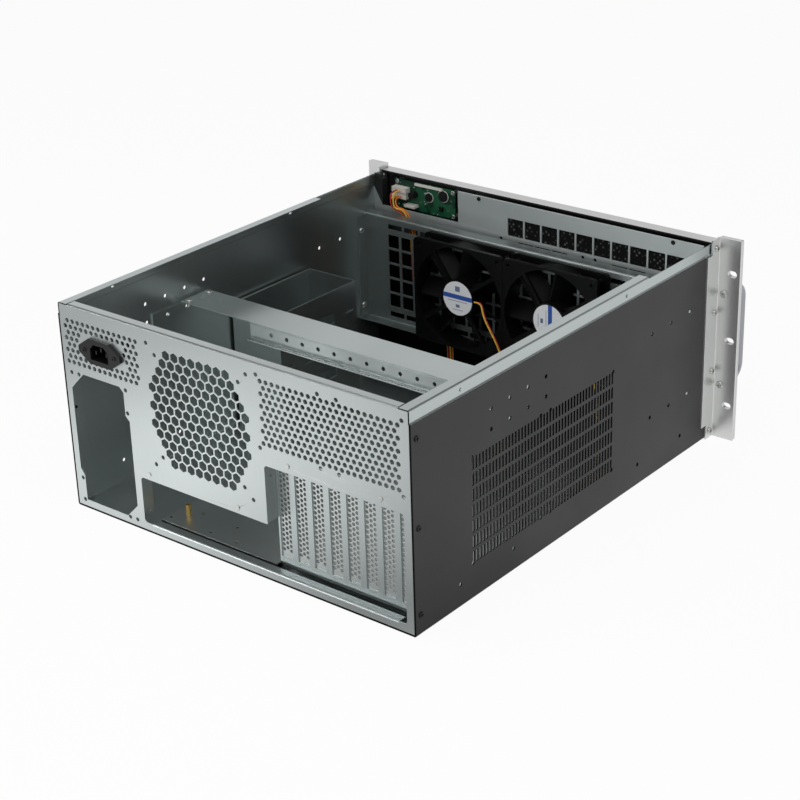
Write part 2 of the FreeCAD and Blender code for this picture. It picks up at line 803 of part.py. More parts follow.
# How far round the foot's bend its slots sit, from the level.
FOOT_SLOT_ANGLE = 56


def foot_slots():
    """Slots for the tongues of card brackets, cut through the wide bend under the windows."""
    bend_front = s.case_depth - s.slot_recess - s.slot_foot_bend
    middle = bend_front + s.slot_foot_bend * math.cos(math.radians(FOOT_SLOT_ANGLE))
    return [rectangle(slot_x(k) - s.steel, middle, s.foot_slot_length, s.foot_slot_width)
            for k in range(int(s.slot_count))]


def slot_frame():
    """Recessed plate with eight tall windows, stepped back to the rear panel above them and swept
    in under them to a foot; it is riveted to the rear panel."""
    left = "step_x - fit_gap"
    right = "-slots_right - 3 * steel"
    body = folded("slot_frame_sheet", "yz", [
        (PANEL_BACK, f"{LEDGE} + 10 * steel", -1, 0), (PANEL_BACK, LEDGE, -1, 1),
        (FRAME_FACE, LEDGE, -1, 1), (FRAME_FACE, "slot_foot", -1, 1),
        (f"{FRAME_FACE} - 3 * slot_foot_bend", "slot_foot", 0, 1)], right, left,
        swept=(3, "slot_foot_bend"))
    windows = punches("slot_windows", [rectangle(slot_x(k), (s.slot_bottom + s.slots_top) / 2,
                                                 s.slot_window, s.slots_top - s.slot_bottom - 3 * s.steel)
                                       for k in range(int(s.slot_count))],
                      "y", s.case_depth - s.slot_recess - 2 * s.steel,
                      s.case_depth - s.slot_recess + RUN_OUT)
    rivet_holes = holes("slot_frame_rivet_holes", rivet_spots()[2:], s.rivet_radius - s.rivet_head, "y",
                        panel_back - 2 * s.steel, s.case_depth)
    screw_holes = holes("cover_screw_holes", cover_screw_spots(), s.cover_hole, "z",
                        s.slots_top, s.slots_top + 10 * s.steel)
    tongue_slots = punches("foot_slots", foot_slots(), "z", s.slot_foot - RUN_OUT,
                           s.slot_foot + s.slot_foot_bend)
    node("slot_frame", cut("slot_frame", body, windows, rivet_holes, screw_holes, tongue_slots))


def cover_screw_spots():
    """Screw places on the ledge, one beside the middle of each slot."""
    return [(slot_x(k) + s.cover_width * 0.3, s.case_depth - s.slot_recess * 0.6)
            for k in range(int(s.slot_count))]


def slot_covers():
    """Blank brackets behind the windows, with tabs bent on to the ledge above."""
    back = f"({FRAME_FACE} - steel)"
    for index in range(int(s.slot_count)):
        middle = f"(slot_first - {index} * slot_pitch)"
        body = folded(f"slot_cover_sheet_{index + 1}", "yz", [
            (back, "slot_bottom - 3 * cover_sheet", -1, 0), (back, f"{LEDGE} + steel", -1, 1),
            (f"{back} + slot_recess - 2 * steel", f"{LEDGE} + steel", 0, 1)],
            f"{middle} - cover_width / 2", f"{middle} + cover_width / 2", "cover_sheet")
        notch = holes(f"slot_cover_notch_{index + 1}", [cover_screw_spots()[index]], s.wall_hole, "z",
                      s.slots_top, s.slots_top + 10 * s.steel)
        node(f"slot_cover_{index + 1}", cut(f"slot_cover_{index + 1}", body, notch))
    ledge = s.slots_top + 3 * s.steel
    tab_top = ledge + s.steel + s.cover_sheet
    node("slot_cover_screws", screws("slot_cover_screw_solids", cover_screw_spots(), "z", tab_top,
                                     tab_top + s.screw, ledge - 2 * s.steel, 2 * s.cover_hole,
                                     s.cover_hole - RUN_OUT / 10))


# ---- power inlet ----

def inlet_screw_spots():
    return [(s.inlet_x + side * s.inlet_screws / 2, s.inlet_z) for side in (-1, 1)]


def power_inlet():
    """Three-pin inlet with a lozenge flange; its shroud is one moulding with a deep recess."""
    x, z = "inlet_x", "inlet_z"
    tip, end = "inlet_flange / 2", "inlet_end / 2"
    wide, tall = "inlet_width / 2", "(inlet_height / 2 + inlet_end / 2)"
    flange = profile("inlet_flange_plate", "xz", [
        (f"{x} - {tip}", f"{z} - {end}"), (f"{x} - {wide}", f"{z} - {tall}"),
        (f"{x} + {wide}", f"{z} - {tall}"), (f"{x} + {tip}", f"{z} - {end}"),
        (f"{x} + {tip}", f"{z} + {end}"), (f"{x} + {wide}", f"{z} + {tall}"),
        (f"{x} - {wide}", f"{z} + {tall}"), (f"{x} - {tip}", f"{z} + {end}")],
        "case_depth", "case_depth + inlet_proud", [((0, 3, 4, 7), "inlet_end / 3")])
    block = slab("inlet_block", (f"{x} - {wide} + fit_gap / 2", f"{x} + {wide} - fit_gap / 2"),
                 ("case_depth - inlet_depth", "case_depth + inlet_proud / 2"),
                 (f"{z} - inlet_height / 2 + fit_gap / 2", f"{z} + inlet_height / 2 - fit_gap / 2"))
    side, top, corner = "inlet_socket_width / 2", "inlet_socket_height / 2", "inlet_socket_corner"
    recess = profile("inlet_recess", "xz", [
        (f"{x} - {side}", f"{z} - {top}"), (f"{x} + {side}", f"{z} - {top}"),
        (f"{x} + {side}", f"{z} + {top} - {corner}"), (f"{x} + {side} - {corner}", f"{z} + {top}"),
        (f"{x} - {side} + {corner}", f"{z} + {top}"), (f"{x} - {side}", f"{z} + {top} - {corner}")],
        "case_depth + inlet_proud - inlet_socket_depth", "case_depth + 2 * inlet_proud")
    drills = holes("inlet_drills", inlet_screw_spots(), s.cover_hole, "y", s.case_depth - RUN_OUT,
                   s.case_depth + 2 * s.inlet_proud)
    pins = []
    for across, up in (("-pin_pitch", "-pin_drop"), ("0", "pin_rise"), ("pin_pitch", "-pin_drop")):
        pins.append(slab(f"inlet_pin_{len(pins)}",
                         (f"{x} + {across} - pin_thick / 2", f"{x} + {across} + pin_thick / 2"),
                         ("case_depth - inlet_depth - pin_tail",
                          "case_depth + inlet_proud - pin_thick * 1.5"),
                         (f"{z} + {up} - pin_thick", f"{z} + {up} + pin_thick")))
    seats = group("inlet_pin_seats", *pins)
    node("power_inlet", cut("power_inlet", fuse("inlet_moulding", flange, block), recess, drills, seats))
    node("inlet_pins", group("inlet_pins", *pins))
    face = s.case_depth + s.inlet_proud
    node("inlet_fixings", screws("inlet_fixing_solids", inlet_screw_spots(), "y", face, face + s.screw / 2,
                                 panel_back - 2 * s.steel, 2 * s.cover_hole - RUN_OUT,
                                 s.cover_hole - RUN_OUT / 10))


# ---- motherboard tray ----

def tray_hole_spots():
    """Board screw holes at the standard board spacing, and a few tooling holes near the rear edge."""
    across = (0.0, s.board_hole_middle, s.board_hole_far)
    back = (0.0, s.board_row_middle, s.board_row_far)
    grid = [(s.standoff_x - dx, s.standoff_y - dy) for dx in across for dy in back]
    step = s.tooling_pitch
    tooling = [(s.standoff_x + dx * step, s.tray_rear - dy * step)
               for dx, dy in ((1, 0.75), (-3.5, 0.75), (-4.75, 2.6), (-6.4, 0.75), (-0.8, 2.7), (0.85, 4.6))]
    return grid[1:] + tooling


def motherboard_tray():
    """Raised pan with turned-down sides that stand on the floor."""
    far_side = f"-{WALL_IN} + steel + fit_gap"
    body = folded("tray_sheet", "xz", [
        ("tray_left", "steel", -1, 0), ("tray_left", "tray_top", -1, -1), (far_side, "tray_top", 1, -1),
        (far_side, "steel", 1, 0)], "tray_front", "tray_rear")
    drilled = holes("tray_holes", tray_hole_spots(), s.cover_hole, "z", s.tray_top - 2 * s.steel,
                    s.tray_top + RUN_OUT)
    seat = holes("standoff_hole", [(s.standoff_x, s.standoff_y)], s.cover_hole, "z",
                 s.tray_top - 2 * s.steel, s.tray_top + RUN_OUT)
    behind_frame = slab("tray_notch", (f"{far_side} - steel", "step_x + 4 * steel"),
                        (f"{FRAME_FACE} - 3 * slot_foot_bend - steel", "tray_rear + steel"),
                        ("0", "tray_top + steel"))
    node("motherboard_tray", cut("motherboard_tray", body, drilled, seat, behind_frame))


def standoff():
    """Brass hexagon pillar screwed into the tray."""
    top = s.tray_top + s.standoff_height
    pillar = punches("standoff_hexagon", [hexagon(s.standoff_x, s.standoff_y, s.standoff_flats)], "z",
                     s.tray_top, top)
    stud = rod("standoff_stud", "z", "cover_hole - 0.1", "tray_top - 2 * steel", "tray_top + 1",
               x="standoff_x", y="standoff_y")
    bore = rod("standoff_bore", "z", "cover_hole - 0.2", "tray_top + standoff_height - 7",
               "tray_top + standoff_height + 1", x="standoff_x", y="standoff_y")
    node("standoff", cut("standoff", fuse("standoff_solid", pillar, stud), bore))


# ---- card hold-down bar ----

BAR_REAR = "(bar_front + bar_depth)"


def hold_down_bar():
    """Channel across the case; its rear edge turns down into a rail with one hole for each card."""
    plate_left = f"{WALL_IN} - 4 * steel"
    plate_right = f"-{WALL_IN} + steel + fit_gap"
    plate = folded("bar_plate", "yz", [
        ("bar_front", "bar_top - 8 * steel", 1, 0), ("bar_front", "bar_top", 1, -1),
        (BAR_REAR, "bar_top", 0, -1)], plate_right, plate_left)
    rail = folded("bar_rail", "yz", [
        (f"{BAR_REAR} - 8 * steel", "bar_top", 0, -1), (BAR_REAR, "bar_top", -1, -1),
        (BAR_REAR, "bar_top - rail_drop + steel", -1, -1),
        (f"{BAR_REAR} + rail_lip", "bar_top - rail_drop + steel", 0, -1)], plate_right, "rail_left")
    trim = slab("bar_corner_trim", ("rail_left", f"{plate_left} + steel"),
                (f"{BAR_REAR} - steel / 2", f"{BAR_REAR} + steel"),
                ("bar_top - 2 * steel", "bar_top + steel"))
    spots = [(s.rail_holes_left - k * s.slot_pitch, s.bar_top - s.rail_hole_drop) for k in range(15)]
    rear = s.bar_front + s.bar_depth
    rail_holes = holes("rail_holes", spots, s.rail_hole, "y", rear - 2 * s.steel, rear + s.steel)
    slots = punches("rail_slots", [rectangle(x, rear + s.rail_lip / 2, s.rail_slot_length,
                                             s.rail_slot_width) for x, _ in spots],
                    "z", s.bar_top - s.rail_drop - RUN_OUT, s.bar_top - s.rail_drop + 2 * s.steel)
    screw_holes = holes("bar_screw_holes", bar_screw_spots(), s.wall_hole, "z", s.bar_top - 2 * s.steel,
                        s.bar_top + RUN_OUT)
    node("hold_down_bar", cut("hold_down_bar", fuse("bar_sheet", plate, rail), trim, rail_holes, slots,
                              screw_holes))
    hooks = []
    for k, length in enumerate(("hook_length", "hook_length / 2")):
        x = f"(hook_x - {k} * slot_pitch)"
        hooks.append(slab(f"bar_hook_{k}", (f"{x} - steel", f"{x} + steel"),
                          ("bar_front + 1.5 * hook_length", f"bar_front + 1.5 * hook_length + {length}"),
                          ("bar_top", "bar_top + 2 * steel")))
    node("bar_hooks", group("bar_hooks", *hooks))


def bar_screw_spots():
    """Two screws at each end of the bar."""
    inset = wall_in - 9 * s.steel
    return [(side * inset, s.bar_front + across) for side in (-1, 1) for across in (7.5, s.bar_depth - 5)]


def bar_brackets():
    """L brackets on the walls; the bar's ends rest on their short tabs."""
    for side, sign in (("left", -1), ("right", 1)):
        wall = f"{sign} * {WALL_IN}"
        tab_end = f"{sign} * ({WALL_IN} - bracket_reach)"
        body = folded(f"bar_bracket_{side}_sheet", "xz", [
            (wall, "bracket_bottom", -sign, 0), (wall, "bar_top - steel", -sign, -1),
            (tab_end, "bar_top - steel", 0, -1)], "bar_front + 2 * steel", "bar_front + bracket_length")
        ends = [f"{wall} - {sign} * 1.2 * steel", f"{tab_end} - {sign} * steel"]
        clear = slab(f"bar_bracket_{side}_trim", ends if sign < 0 else ends[::-1],
                     (f"{BAR_REAR} - 2 * steel", "bar_front + bracket_length + steel"),
                     ("bar_top - 4 * steel", "bar_top + steel"))
        spots = [(s.bar_hole_front + k * s.bar_hole_pitch, s.bar_hole_low) for k in (1, 2)]
        rivet_holes = holes(f"bar_bracket_{side}_holes", spots, s.wall_hole, "x", -half, half)
        screw_holes = holes(f"bar_bracket_{side}_screw_holes", bar_screw_spots(), s.cover_hole, "z",
                            s.bar_top - 4 * s.steel, s.bar_top)
        node(f"bar_bracket_{side}", cut(f"bar_bracket_{side}", body, clear, rivet_holes, screw_holes))
    node("bar_screws", screws("bar_screw_solids", bar_screw_spots(), "z", s.bar_top, s.bar_top + s.screw,
                              s.bar_top - 5 * s.steel, 2 * s.cover_hole, s.cover_hole - RUN_OUT / 10))


# ---- drive cage ----

def drive_cage():
    """Open-topped box with a hemmed edge beside the wall."""
    left = "(cage_right - cage_width)"
    rear = "(cage_front + cage_length)"
    outside = slab("cage_outside", (left, "cage_right"), ("cage_front", rear), ("steel", "cage_top"))
    inside = slab("cage_inside", (f"{left} + steel", "cage_right - steel"),
                  ("cage_front + steel", f"{rear} - steel"), ("2 * steel", "cage_top + steel"))
    hem = slab("cage_hem_strip", ("cage_right - cage_hem", "cage_right"), ("cage_front", rear),
               ("cage_top - 2 * cage_hem", "cage_top"))
    box = fuse("cage_box", cut("cage_shell", outside, inside), hem)
    slots = []
    middle, ends = s.cage_front + s.cage_length / 2, s.cage_length / 2 - s.cage_slot
    for k in range(4):
        z = s.cage_top - s.cage_slot_pitch * (k + 1)
        slots += [rectangle(middle + side * ends, z, s.cage_slot, s.cage_hem) for side in (-1, 1)]
        slots.append(rectangle(middle, z, ends, s.cage_slot))
    side_slots = punches("cage_slots", slots, "x", s.cage_right - s.cage_width - RUN_OUT,
                         s.cage_right - s.cage_width + 2 * s.steel)
    node("drive_cage", cut("drive_cage", box, side_slots))


# ---- fan wall ----

def fan_x(index):
    return s.fan_middle_x + (0.5 - index) * s.fan_size


def fan_wall():
    """Perforated bulkhead; top edge turned forwards, bottom edge and ends turned back."""
    end = f"({WALL_IN} - steel)"
    front = "(fan_wall_y - steel)"
    main = folded("fan_wall_sheet", "yz", [
        ("fan_wall_y - fan_wall_flange", "fan_wall_top", 0, -1), ("fan_wall_y", "fan_wall_top", -1, -1),
        ("fan_wall_y", "fan_wall_bottom + steel", -1, -1),
        ("fan_wall_y + fan_wall_flange", "fan_wall_bottom + steel", 0, -1)], f"-{WALL_IN}", WALL_IN)
    pieces = [main]
    for side, low, high in (("left", f"-{WALL_IN}", f"-{end}"), ("right", end, WALL_IN)):
        pieces.append(slab("fan_wall_end_" + side, (low, high), (front, "fan_wall_y + fan_wall_flange"),
                           ("fan_wall_bottom + 2 * steel", "fan_wall_top - 2 * steel")))
    low, high = s.fan_wall_y - 2 * s.steel, s.fan_wall_y + RUN_OUT
    middle = (s.grid_rows - 1) / 2
    windows = [rectangle(s.grid_left - s.grid_window / 2 - column * s.grid_pitch_x,
                         s.fan_z + (row - middle) * s.grid_pitch_z, s.grid_window, s.grid_window)
               for row in range(int(s.grid_rows)) for column in range(int(s.grid_columns))]
    slot_count = int(s.grid_columns * s.grid_pitch_x / s.grid_slot_pitch)
    windows += [rectangle(s.grid_left - s.grid_slot_length / 2 - k * s.grid_slot_pitch,
                          s.fan_z + side * s.small_fan_holes / 2, s.grid_slot_length, s.grid_slot_height)
                for side in (-1, 1) for k in range(slot_count)]
    grid = punches("fan_wall_windows", windows, "y", low, high)
    side_holes = holes("fan_wall_side_holes", fan_wall_screw_spots(), s.cover_hole, "x",
                       -half, half)
    corners = [spot for index in range(2) for spot in square(fan_x(index), s.fan_z, s.small_fan_holes)]
    drilled = holes("fan_wall_drills", corners, s.fan_hole, "y", low, high)
    node("fan_wall", cut("fan_wall", fuse("fan_wall_body", *pieces), grid, side_holes, drilled))


def fan_wall_screw_spots():
    return [(s.wall_hole_front, z) for z in (s.wall_hole_low, s.wall_hole_high)]


def panel_screws():
    """Screws from inside, through the fan wall's end flanges and along the top of the front wall."""
    inside = wall_in - s.steel
    sets = []
    for sign in (-1, 1):
        ends = (inside - s.screw, inside) if sign > 0 else (-inside, s.screw - inside)
        sets.append(screws(f"fan_wall_screw_set_{sign + 1}", fan_wall_screw_spots(), "x", *ends,
                           sign * half, 2 * s.cover_hole, s.cover_hole - RUN_OUT / 10))
    sets.append(screws("front_wall_screw_set", subpanel_screw_spots(), "y", s.subpanel_y,
                       s.subpanel_y + s.screw / 2, s.subpanel_y - 3 * s.screw, 2 * s.cover_hole - RUN_OUT,
                       s.cover_hole - RUN_OUT / 10))
    node("panel_screws", group("panel_screws", *sets))


def subpanel_screw_spots():
    height = s.case_height - s.subpanel_screw_drop
    return [(s.subpanel_screw_left, height), (s.subpanel_screw_right, height)]


def rear_screw_spots():
    return [(s.case_depth - s.rear_screw_inset, s.rear_screw_low + k * s.rear_screw_pitch)
            for k in range(3)]


def rear_screws():
    """Dark screws through the side walls into the rear panel's flanges."""
    sets = []
    for sign in (-1, 1):
        ends = (half, half + s.screw / 2) if sign > 0 else (-half - s.screw / 2, -half)
        sets.append(screws(f"rear_screw_set_{sign + 1}", rear_screw_spots(), "x", *ends,
                           sign * (wall_in - 2 * s.steel), 2 * s.cover_hole - RUN_OUT / 2,
                           s.cover_hole - RUN_OUT / 10))
    node("rear_screws", group("rear_screws", *sets))


def fan(index):
    """Axial fan: a frame with two square flanges, a hub on four struts, and a seven-bladed rotor."""
    x = f"(fan_middle_x + {0.5 - index} * fan_size)"
    label = str(index + 1)
    front, rear = "fan_wall_y", "(fan_wall_y + fan_depth)"
    edge = "(fan_size / 2 - fit_gap / 2)"
    plates = []
    for turn, (low, high) in enumerate(((front, f"{front} + fan_flange"), (f"{rear} - fan_flange", rear))):
        plates.append(profile(f"fan_{label}_flange_{turn}", "xz", [
            (f"{x} - {edge}", f"fan_z - {edge}"), (f"{x} + {edge}", f"fan_z - {edge}"),
            (f"{x} + {edge}", f"fan_z + {edge}"), (f"{x} - {edge}", f"fan_z + {edge}")],
            low, high, [((0, 1, 2, 3), "1.3 * fan_flange")]))
    barrel = rod(f"fan_{label}_barrel", "y", "fan_radius + 1.8", front, rear, x=x, z="fan_z")
    bore = rod(f"fan_{label}_bore", "y", "fan_radius", f"{front} - 1", f"{rear} + 1", x=x, z="fan_z")
    corner_holes = holes(f"fan_{label}_holes", square(fan_x(index), s.fan_z, s.small_fan_holes), s.fan_hole,
                         "y", s.fan_wall_y - RUN_OUT, s.fan_wall_y + s.fan_depth + RUN_OUT)
    ring = cut(f"fan_{label}_ring", fuse(f"fan_{label}_body", *plates, barrel), bore, corner_holes)
    seat = rod(f"fan_{label}_seat", "y", "hub_radius", f"{rear} - fan_flange", rear, x=x, z="fan_z")
    struts = strut_solids(index)
    axle = rod(f"fan_{label}_axle", "y", "axle_radius", f"{front} + axle_start", f"{rear} - 1", x=x,
               z="fan_z")
    node(f"fan_frame_{label}", fuse(f"fan_{label}_frame", ring, seat, struts, axle))


def strut_solids(index):
    """Four struts between the frame and the hub's seat, set askew to the frame."""
    rear = s.fan_wall_y + s.fan_depth
    overlap = s.strut_depth / 2
    solids = []
    for k in range(4):
        arm = Part.makeBox(s.fan_radius - s.hub_radius + 2 * overlap, s.strut_depth, s.strut_width,
                           Vector(s.hub_radius - overlap, rear - s.strut_depth, -s.strut_width / 2))
        arm.rotate(Vector(), AXES[1], 90 * k + s.strut_angle)
        arm.translate(Vector(fan_x(index), 0, s.fan_z))
        solids.append(arm)
    return shape(f"fan_{index + 1}_struts", Part.makeCompound(solids))


def impeller(index):
    """Rotor: a cup on the axle and seven pitched blades with round tips."""
    low = s.fan_wall_y + s.rotor_gap
    high = s.fan_wall_y + s.fan_depth - s.fan_flange - s.rotor_gap / 2
    bore_radius = s.axle_radius + s.button_gap
    cup = Part.makeCylinder(s.hub_radius - s.fit_gap, high - low, Vector(0, low, 0), AXES[1])
    bore_start = Vector(0, low + s.axle_start - s.rotor_gap, 0)
    bore = Part.makeCylinder(bore_radius, high - low, bore_start, AXES[1])
    envelope = Part.makeCylinder(s.blade_tip, high - low, Vector(0, low, 0), AXES[1])
    count = int(s.blade_count)
    root = s.hub_radius - 2 * s.blade_thick
    blades = []
    for k in range(count):
        blade = Part.makeBox(s.blade_tip - root + s.blade_thick, s.blade_thick, s.blade_chord,
                             Vector(root, -s.blade_thick / 2, -s.blade_chord / 2))
        blade.rotate(Vector(), AXES[0], s.blade_angle)
        blade.translate(Vector(0, (low + high) / 2, 0))
        blade.rotate(Vector(), AXES[1], 360.0 / count * k)
        blades.append(blade)
    whole = cup.fuse(blades).common(envelope).cut(bore).removeSplitter()
    whole.translate(Vector(fan_x(index), 0, s.fan_z))
    node(f"impeller_{index + 1}", shape(f"impeller_{index + 1}", whole))


def fan_labels():
    for index in range(2):
        x = f"(fan_middle_x + {0.5 - index} * fan_size)"
        disc = rod(f"fan_label_{index + 1}_disc", "y", "label_radius", "fan_wall_y + fan_depth",
                   "fan_wall_y + fan_depth + label_thick", x=x, z="fan_z")
        node(f"fan_label_{index + 1}", disc)


def fan_screws():
    """Screws from the front, through the long slots of the fan wall into the fan corners."""
    spots = []
    for index in range(2):
        spots += square(fan_x(index), s.fan_z, s.small_fan_holes)
    front = s.fan_wall_y - s.steel
    node("fan_screws", screws("fan_screw_solids", spots, "y", front - s.screw, front,
                              s.fan_wall_y + 2 * s.fan_flange, 2.2 * s.fan_hole, s.fan_hole - RUN_OUT / 10))


# ---- front panels ----

def front_subpanel():
    """Inner front wall with rows of square windows and a cut-out behind the display."""
    front = "(subpanel_y - steel)"
    face = slab("subpanel_face", (f"-{WALL_IN} + steel", f"{WALL_IN} - steel"), (front, "subpanel_y"),
                ("steel", "case_height"))
    pieces = [face]
    for side, low, high in (("left", f"-{WALL_IN}", f"-{WALL_IN} + steel"),
                            ("right", f"{WALL_IN} - steel", WALL_IN)):
        pieces.append(slab("subpanel_flange_" + side, (low, high), (f"{front} - 8 * steel", "subpanel_y"),
                           ("3 * steel", f"{STRIP_LOW} - 2 * steel")))
    pieces.append(slab("subpanel_foot", (f"-{WALL_IN} + 2 * steel", f"{WALL_IN} - 2 * steel"),
                       (f"{front} - 8 * steel", "subpanel_y"), ("steel", "2 * steel")))
    low, high = s.subpanel_y - 2 * s.steel, s.subpanel_y + RUN_OUT
    windows = [rectangle(s.window_left - s.window_size / 2 - k * s.window_pitch,
                         s.window_top - s.window_size / 2, s.window_size, s.window_size)
               for k in range(int(s.window_columns))]
    for left, columns in ((s.lower_window_left, 3), (s.lower_window_right, 2)):
        windows += [rectangle(left - s.window_size / 2 - k * s.window_pitch,
                              s.lower_window_top - s.window_size / 2 - row * s.window_pitch,
                              s.window_size, s.window_size)
                    for k in range(columns) for row in range(int(s.lower_window_rows))]
    grid = punches("subpanel_windows", windows, "y", low, high)
    screen = slab("subpanel_display_cut", ("display_cut_left", f"{WALL_IN} - 10 * steel"),
                  (f"{front} - steel", "subpanel_y + steel"), ("display_cut_bottom", "case_height + steel"))
    drilled = holes("subpanel_holes", [(s.lower_window_left + s.window_pitch, s.lower_window_top),
                                       (s.lower_window_right + 1.6 * s.window_pitch, s.lower_window_top),
                                       (s.lower_window_right + 0.9 * s.window_pitch, s.lower_window_top)],
                    s.wall_hole, "y", low, high)
    screw_holes = holes("subpanel_screw_holes", subpanel_screw_spots(), s.cover_hole, "y", low, high)
    node("front_subpanel", cut("front_subpanel", fuse("subpanel_sheet", *pieces), grid, screen, drilled,
                               screw_holes))


def dust_filter():
    """Black filter pad in front of the inner wall's windows."""
    front = "(subpanel_y - steel)"
    node("dust_filter", slab("dust_filter_pad", (f"-{WALL_IN} + 4 * steel", "intake_right + 2 * steel"),
                             (f"{front} - filter_thick", front), ("4 * steel", "window_top + 2 * steel")))


PLATE_BACK = "(-ear_steel)"
PLATE_FRONT = "(-ear_steel - plate_thick)"


def front_plate():
    """Thick front plate, full height at the ears and lower between them, with a lip along the top."""
    shoulder = "(case_width / 2 + ear_steel)"
    face = profile("plate_face", "xz", [
        ("-plate_width / 2", "0"), ("plate_width / 2", "0"), ("plate_width / 2", "plate_height"),
        (shoulder, "plate_height"), (shoulder, "plate_lip_top"), (f"-{shoulder}", "plate_lip_top"),
        (f"-{shoulder}", "plate_height"), ("-plate_width / 2", "plate_height")],
        PLATE_FRONT, PLATE_BACK, [((0, 1, 2, 7), "plate_corner")])
    lip = slab("plate_lip_strip", ("-case_width / 2 + fit_gap", "case_width / 2 - fit_gap"),
               (PLATE_BACK, f"{PLATE_FRONT} + plate_lip"), ("plate_lip_top - ear_steel", "plate_lip_top"))
    low, high = -s.ear_steel - s.plate_thick - RUN_OUT, -s.ear_steel + RUN_OUT
    slots = [rectangle(s.intake_right - k * s.intake_pitch,
                       s.intake_low + s.intake_height / 2 + row * (s.intake_height + s.intake_pitch),
                       s.intake_slot, s.intake_height)
             for row in range(2) for k in range(int(s.intake_columns))]
    intake = punches("intake_slots", slots, "y", low, high)
    screen = slab("screen_opening",
                  ("display_x - display_glass_width / 2", "display_x + display_glass_width / 2"),
                  (f"{PLATE_FRONT} - 1", f"{PLATE_BACK} + 1"),
                  ("display_z - display_glass_height / 2", "display_z + display_glass_height / 2"))
    drills = [rod("power_button_bore", "y", "button_radius + button_gap", f"{PLATE_FRONT} - 1",
                  f"{PLATE_BACK} + 1", x="button_x", z="button_z"),
              rod("reset_button_bore", "y", "reset_radius + button_gap", f"{PLATE_FRONT} - 1",
                  f"{PLATE_BACK} + 1", x="reset_x", z="button_z")]
    lights = holes("light_bores", light_spots(), s.light_radius, "y", low, high)
    node("front_plate", cut("front_plate", fuse("plate_solid", face, lip), intake, screen, *drills, lights,
                            ear_slots("plate", low, high), handle_drills("plate", low, high)))


def light_spots():
    return [(s.light_x - k * s.light_pitch, s.button_z) for k in range(2)]


def ear_slots(name, low, high):
    """Six round-ended rack slots, long across the case."""
    tools = []
    for side in (-1, 1):
        for k in range(3):
            tools.append(rounded_slot(side * s.ear_slot_x, s.ear_slot_low + k * s.ear_slot_pitch, low, high))
    return shape(name + "_rack_slots", Part.makeCompound(tools))


def rounded_slot(x, z, low, high):
    """A round-ended slot tool along y."""
    radius = s.ear_slot_width / 2
    reach = s.ear_slot_length / 2 - radius
    left = Part.makeCylinder(radius, high - low, Vector(x - reach, low, z), AXES[1])
    right = Part.makeCylinder(radius, high - low, Vector(x + reach, low, z), AXES[1])
    middle = punch(rectangle(x, z, 2 * reach, 2 * radius), "y", low, high)
    return left.fuse([right, middle]).removeSplitter()


def handle_spots():
    return [(side * s.handle_x, s.handle_low + k * s.handle_span) for side in (-1, 1) for k in range(2)]


def handle_drills(name, low, high):
    return holes(name + "_handle_drills", handle_spots(), s.screw + 0.1, "y", low, high)


def ear_brackets():
    """L brackets that join the plate's ears to the side walls."""
    for side, sign in (("left", -1), ("right", 1)):
        body = folded(f"ear_bracket_{side}_sheet", "xy", [
            (f"{sign} * plate_width / 2", "-ear_steel", 0, 1),
            (f"{sign} * case_width / 2", "-ear_steel", sign, 1),
            (f"{sign} * case_width / 2", "ear_flange", sign, 0)], "0", "plate_height", "ear_steel")
        trims = []
        notches = (("-1", "ear_notch_low"), ("ear_notch_high", "plate_height + 1"))
        for turn, (low, high) in enumerate(notches):
            trims.append(slab(f"ear_notch_{side}_{turn}", (f"{sign} * (case_width / 2 + ear_steel) - 3",
                                                           f"{sign} * (case_width / 2 + ear_steel) + 3"),
                              ("ear_flange - ear_notch", "ear_flange + 1"), (low, high)))
        slots = ear_slots(f"ear_{side}", -s.ear_steel - RUN_OUT, RUN_OUT)
        drills = handle_drills(f"ear_{side}", -s.ear_steel - RUN_OUT, RUN_OUT)
        flange_holes = holes(f"ear_{side}_flange_holes", ear_screw_spots(), s.wall_hole, "x",
                             -half - 2 * s.ear_steel, half + 2 * s.ear_steel)
        node(f"ear_bracket_{side}", cut(f"ear_bracket_{side}", body, *trims, slots, drills, flange_holes))


def ear_screw_spots():
    """Screws that join the bracket flanges to the walls."""
    middle = s.case_height / 2
    return [(s.ear_steel * 2.75, middle + offset) for offset in (-101.5, -33.0, 32.0, 101.5)]


def ear_screws():
    sets = []
    outside = half + s.ear_steel
    for sign in (-1, 1):
        ends = (outside, outside + s.screw) if sign > 0 else (-outside - s.screw, -outside)
        sets.append(screws(f"ear_screw_set_{sign + 1}", ear_screw_spots(), "x", *ends,
                           sign * (wall_in - s.steel), 2 * s.cover_hole, s.cover_hole - RUN_OUT / 10))
    node("ear_screws", group("ear_screws", *sets))


HANDLE_FRONT = "(-ear_steel - plate_thick - handle_reach + handle_bar / 2)"


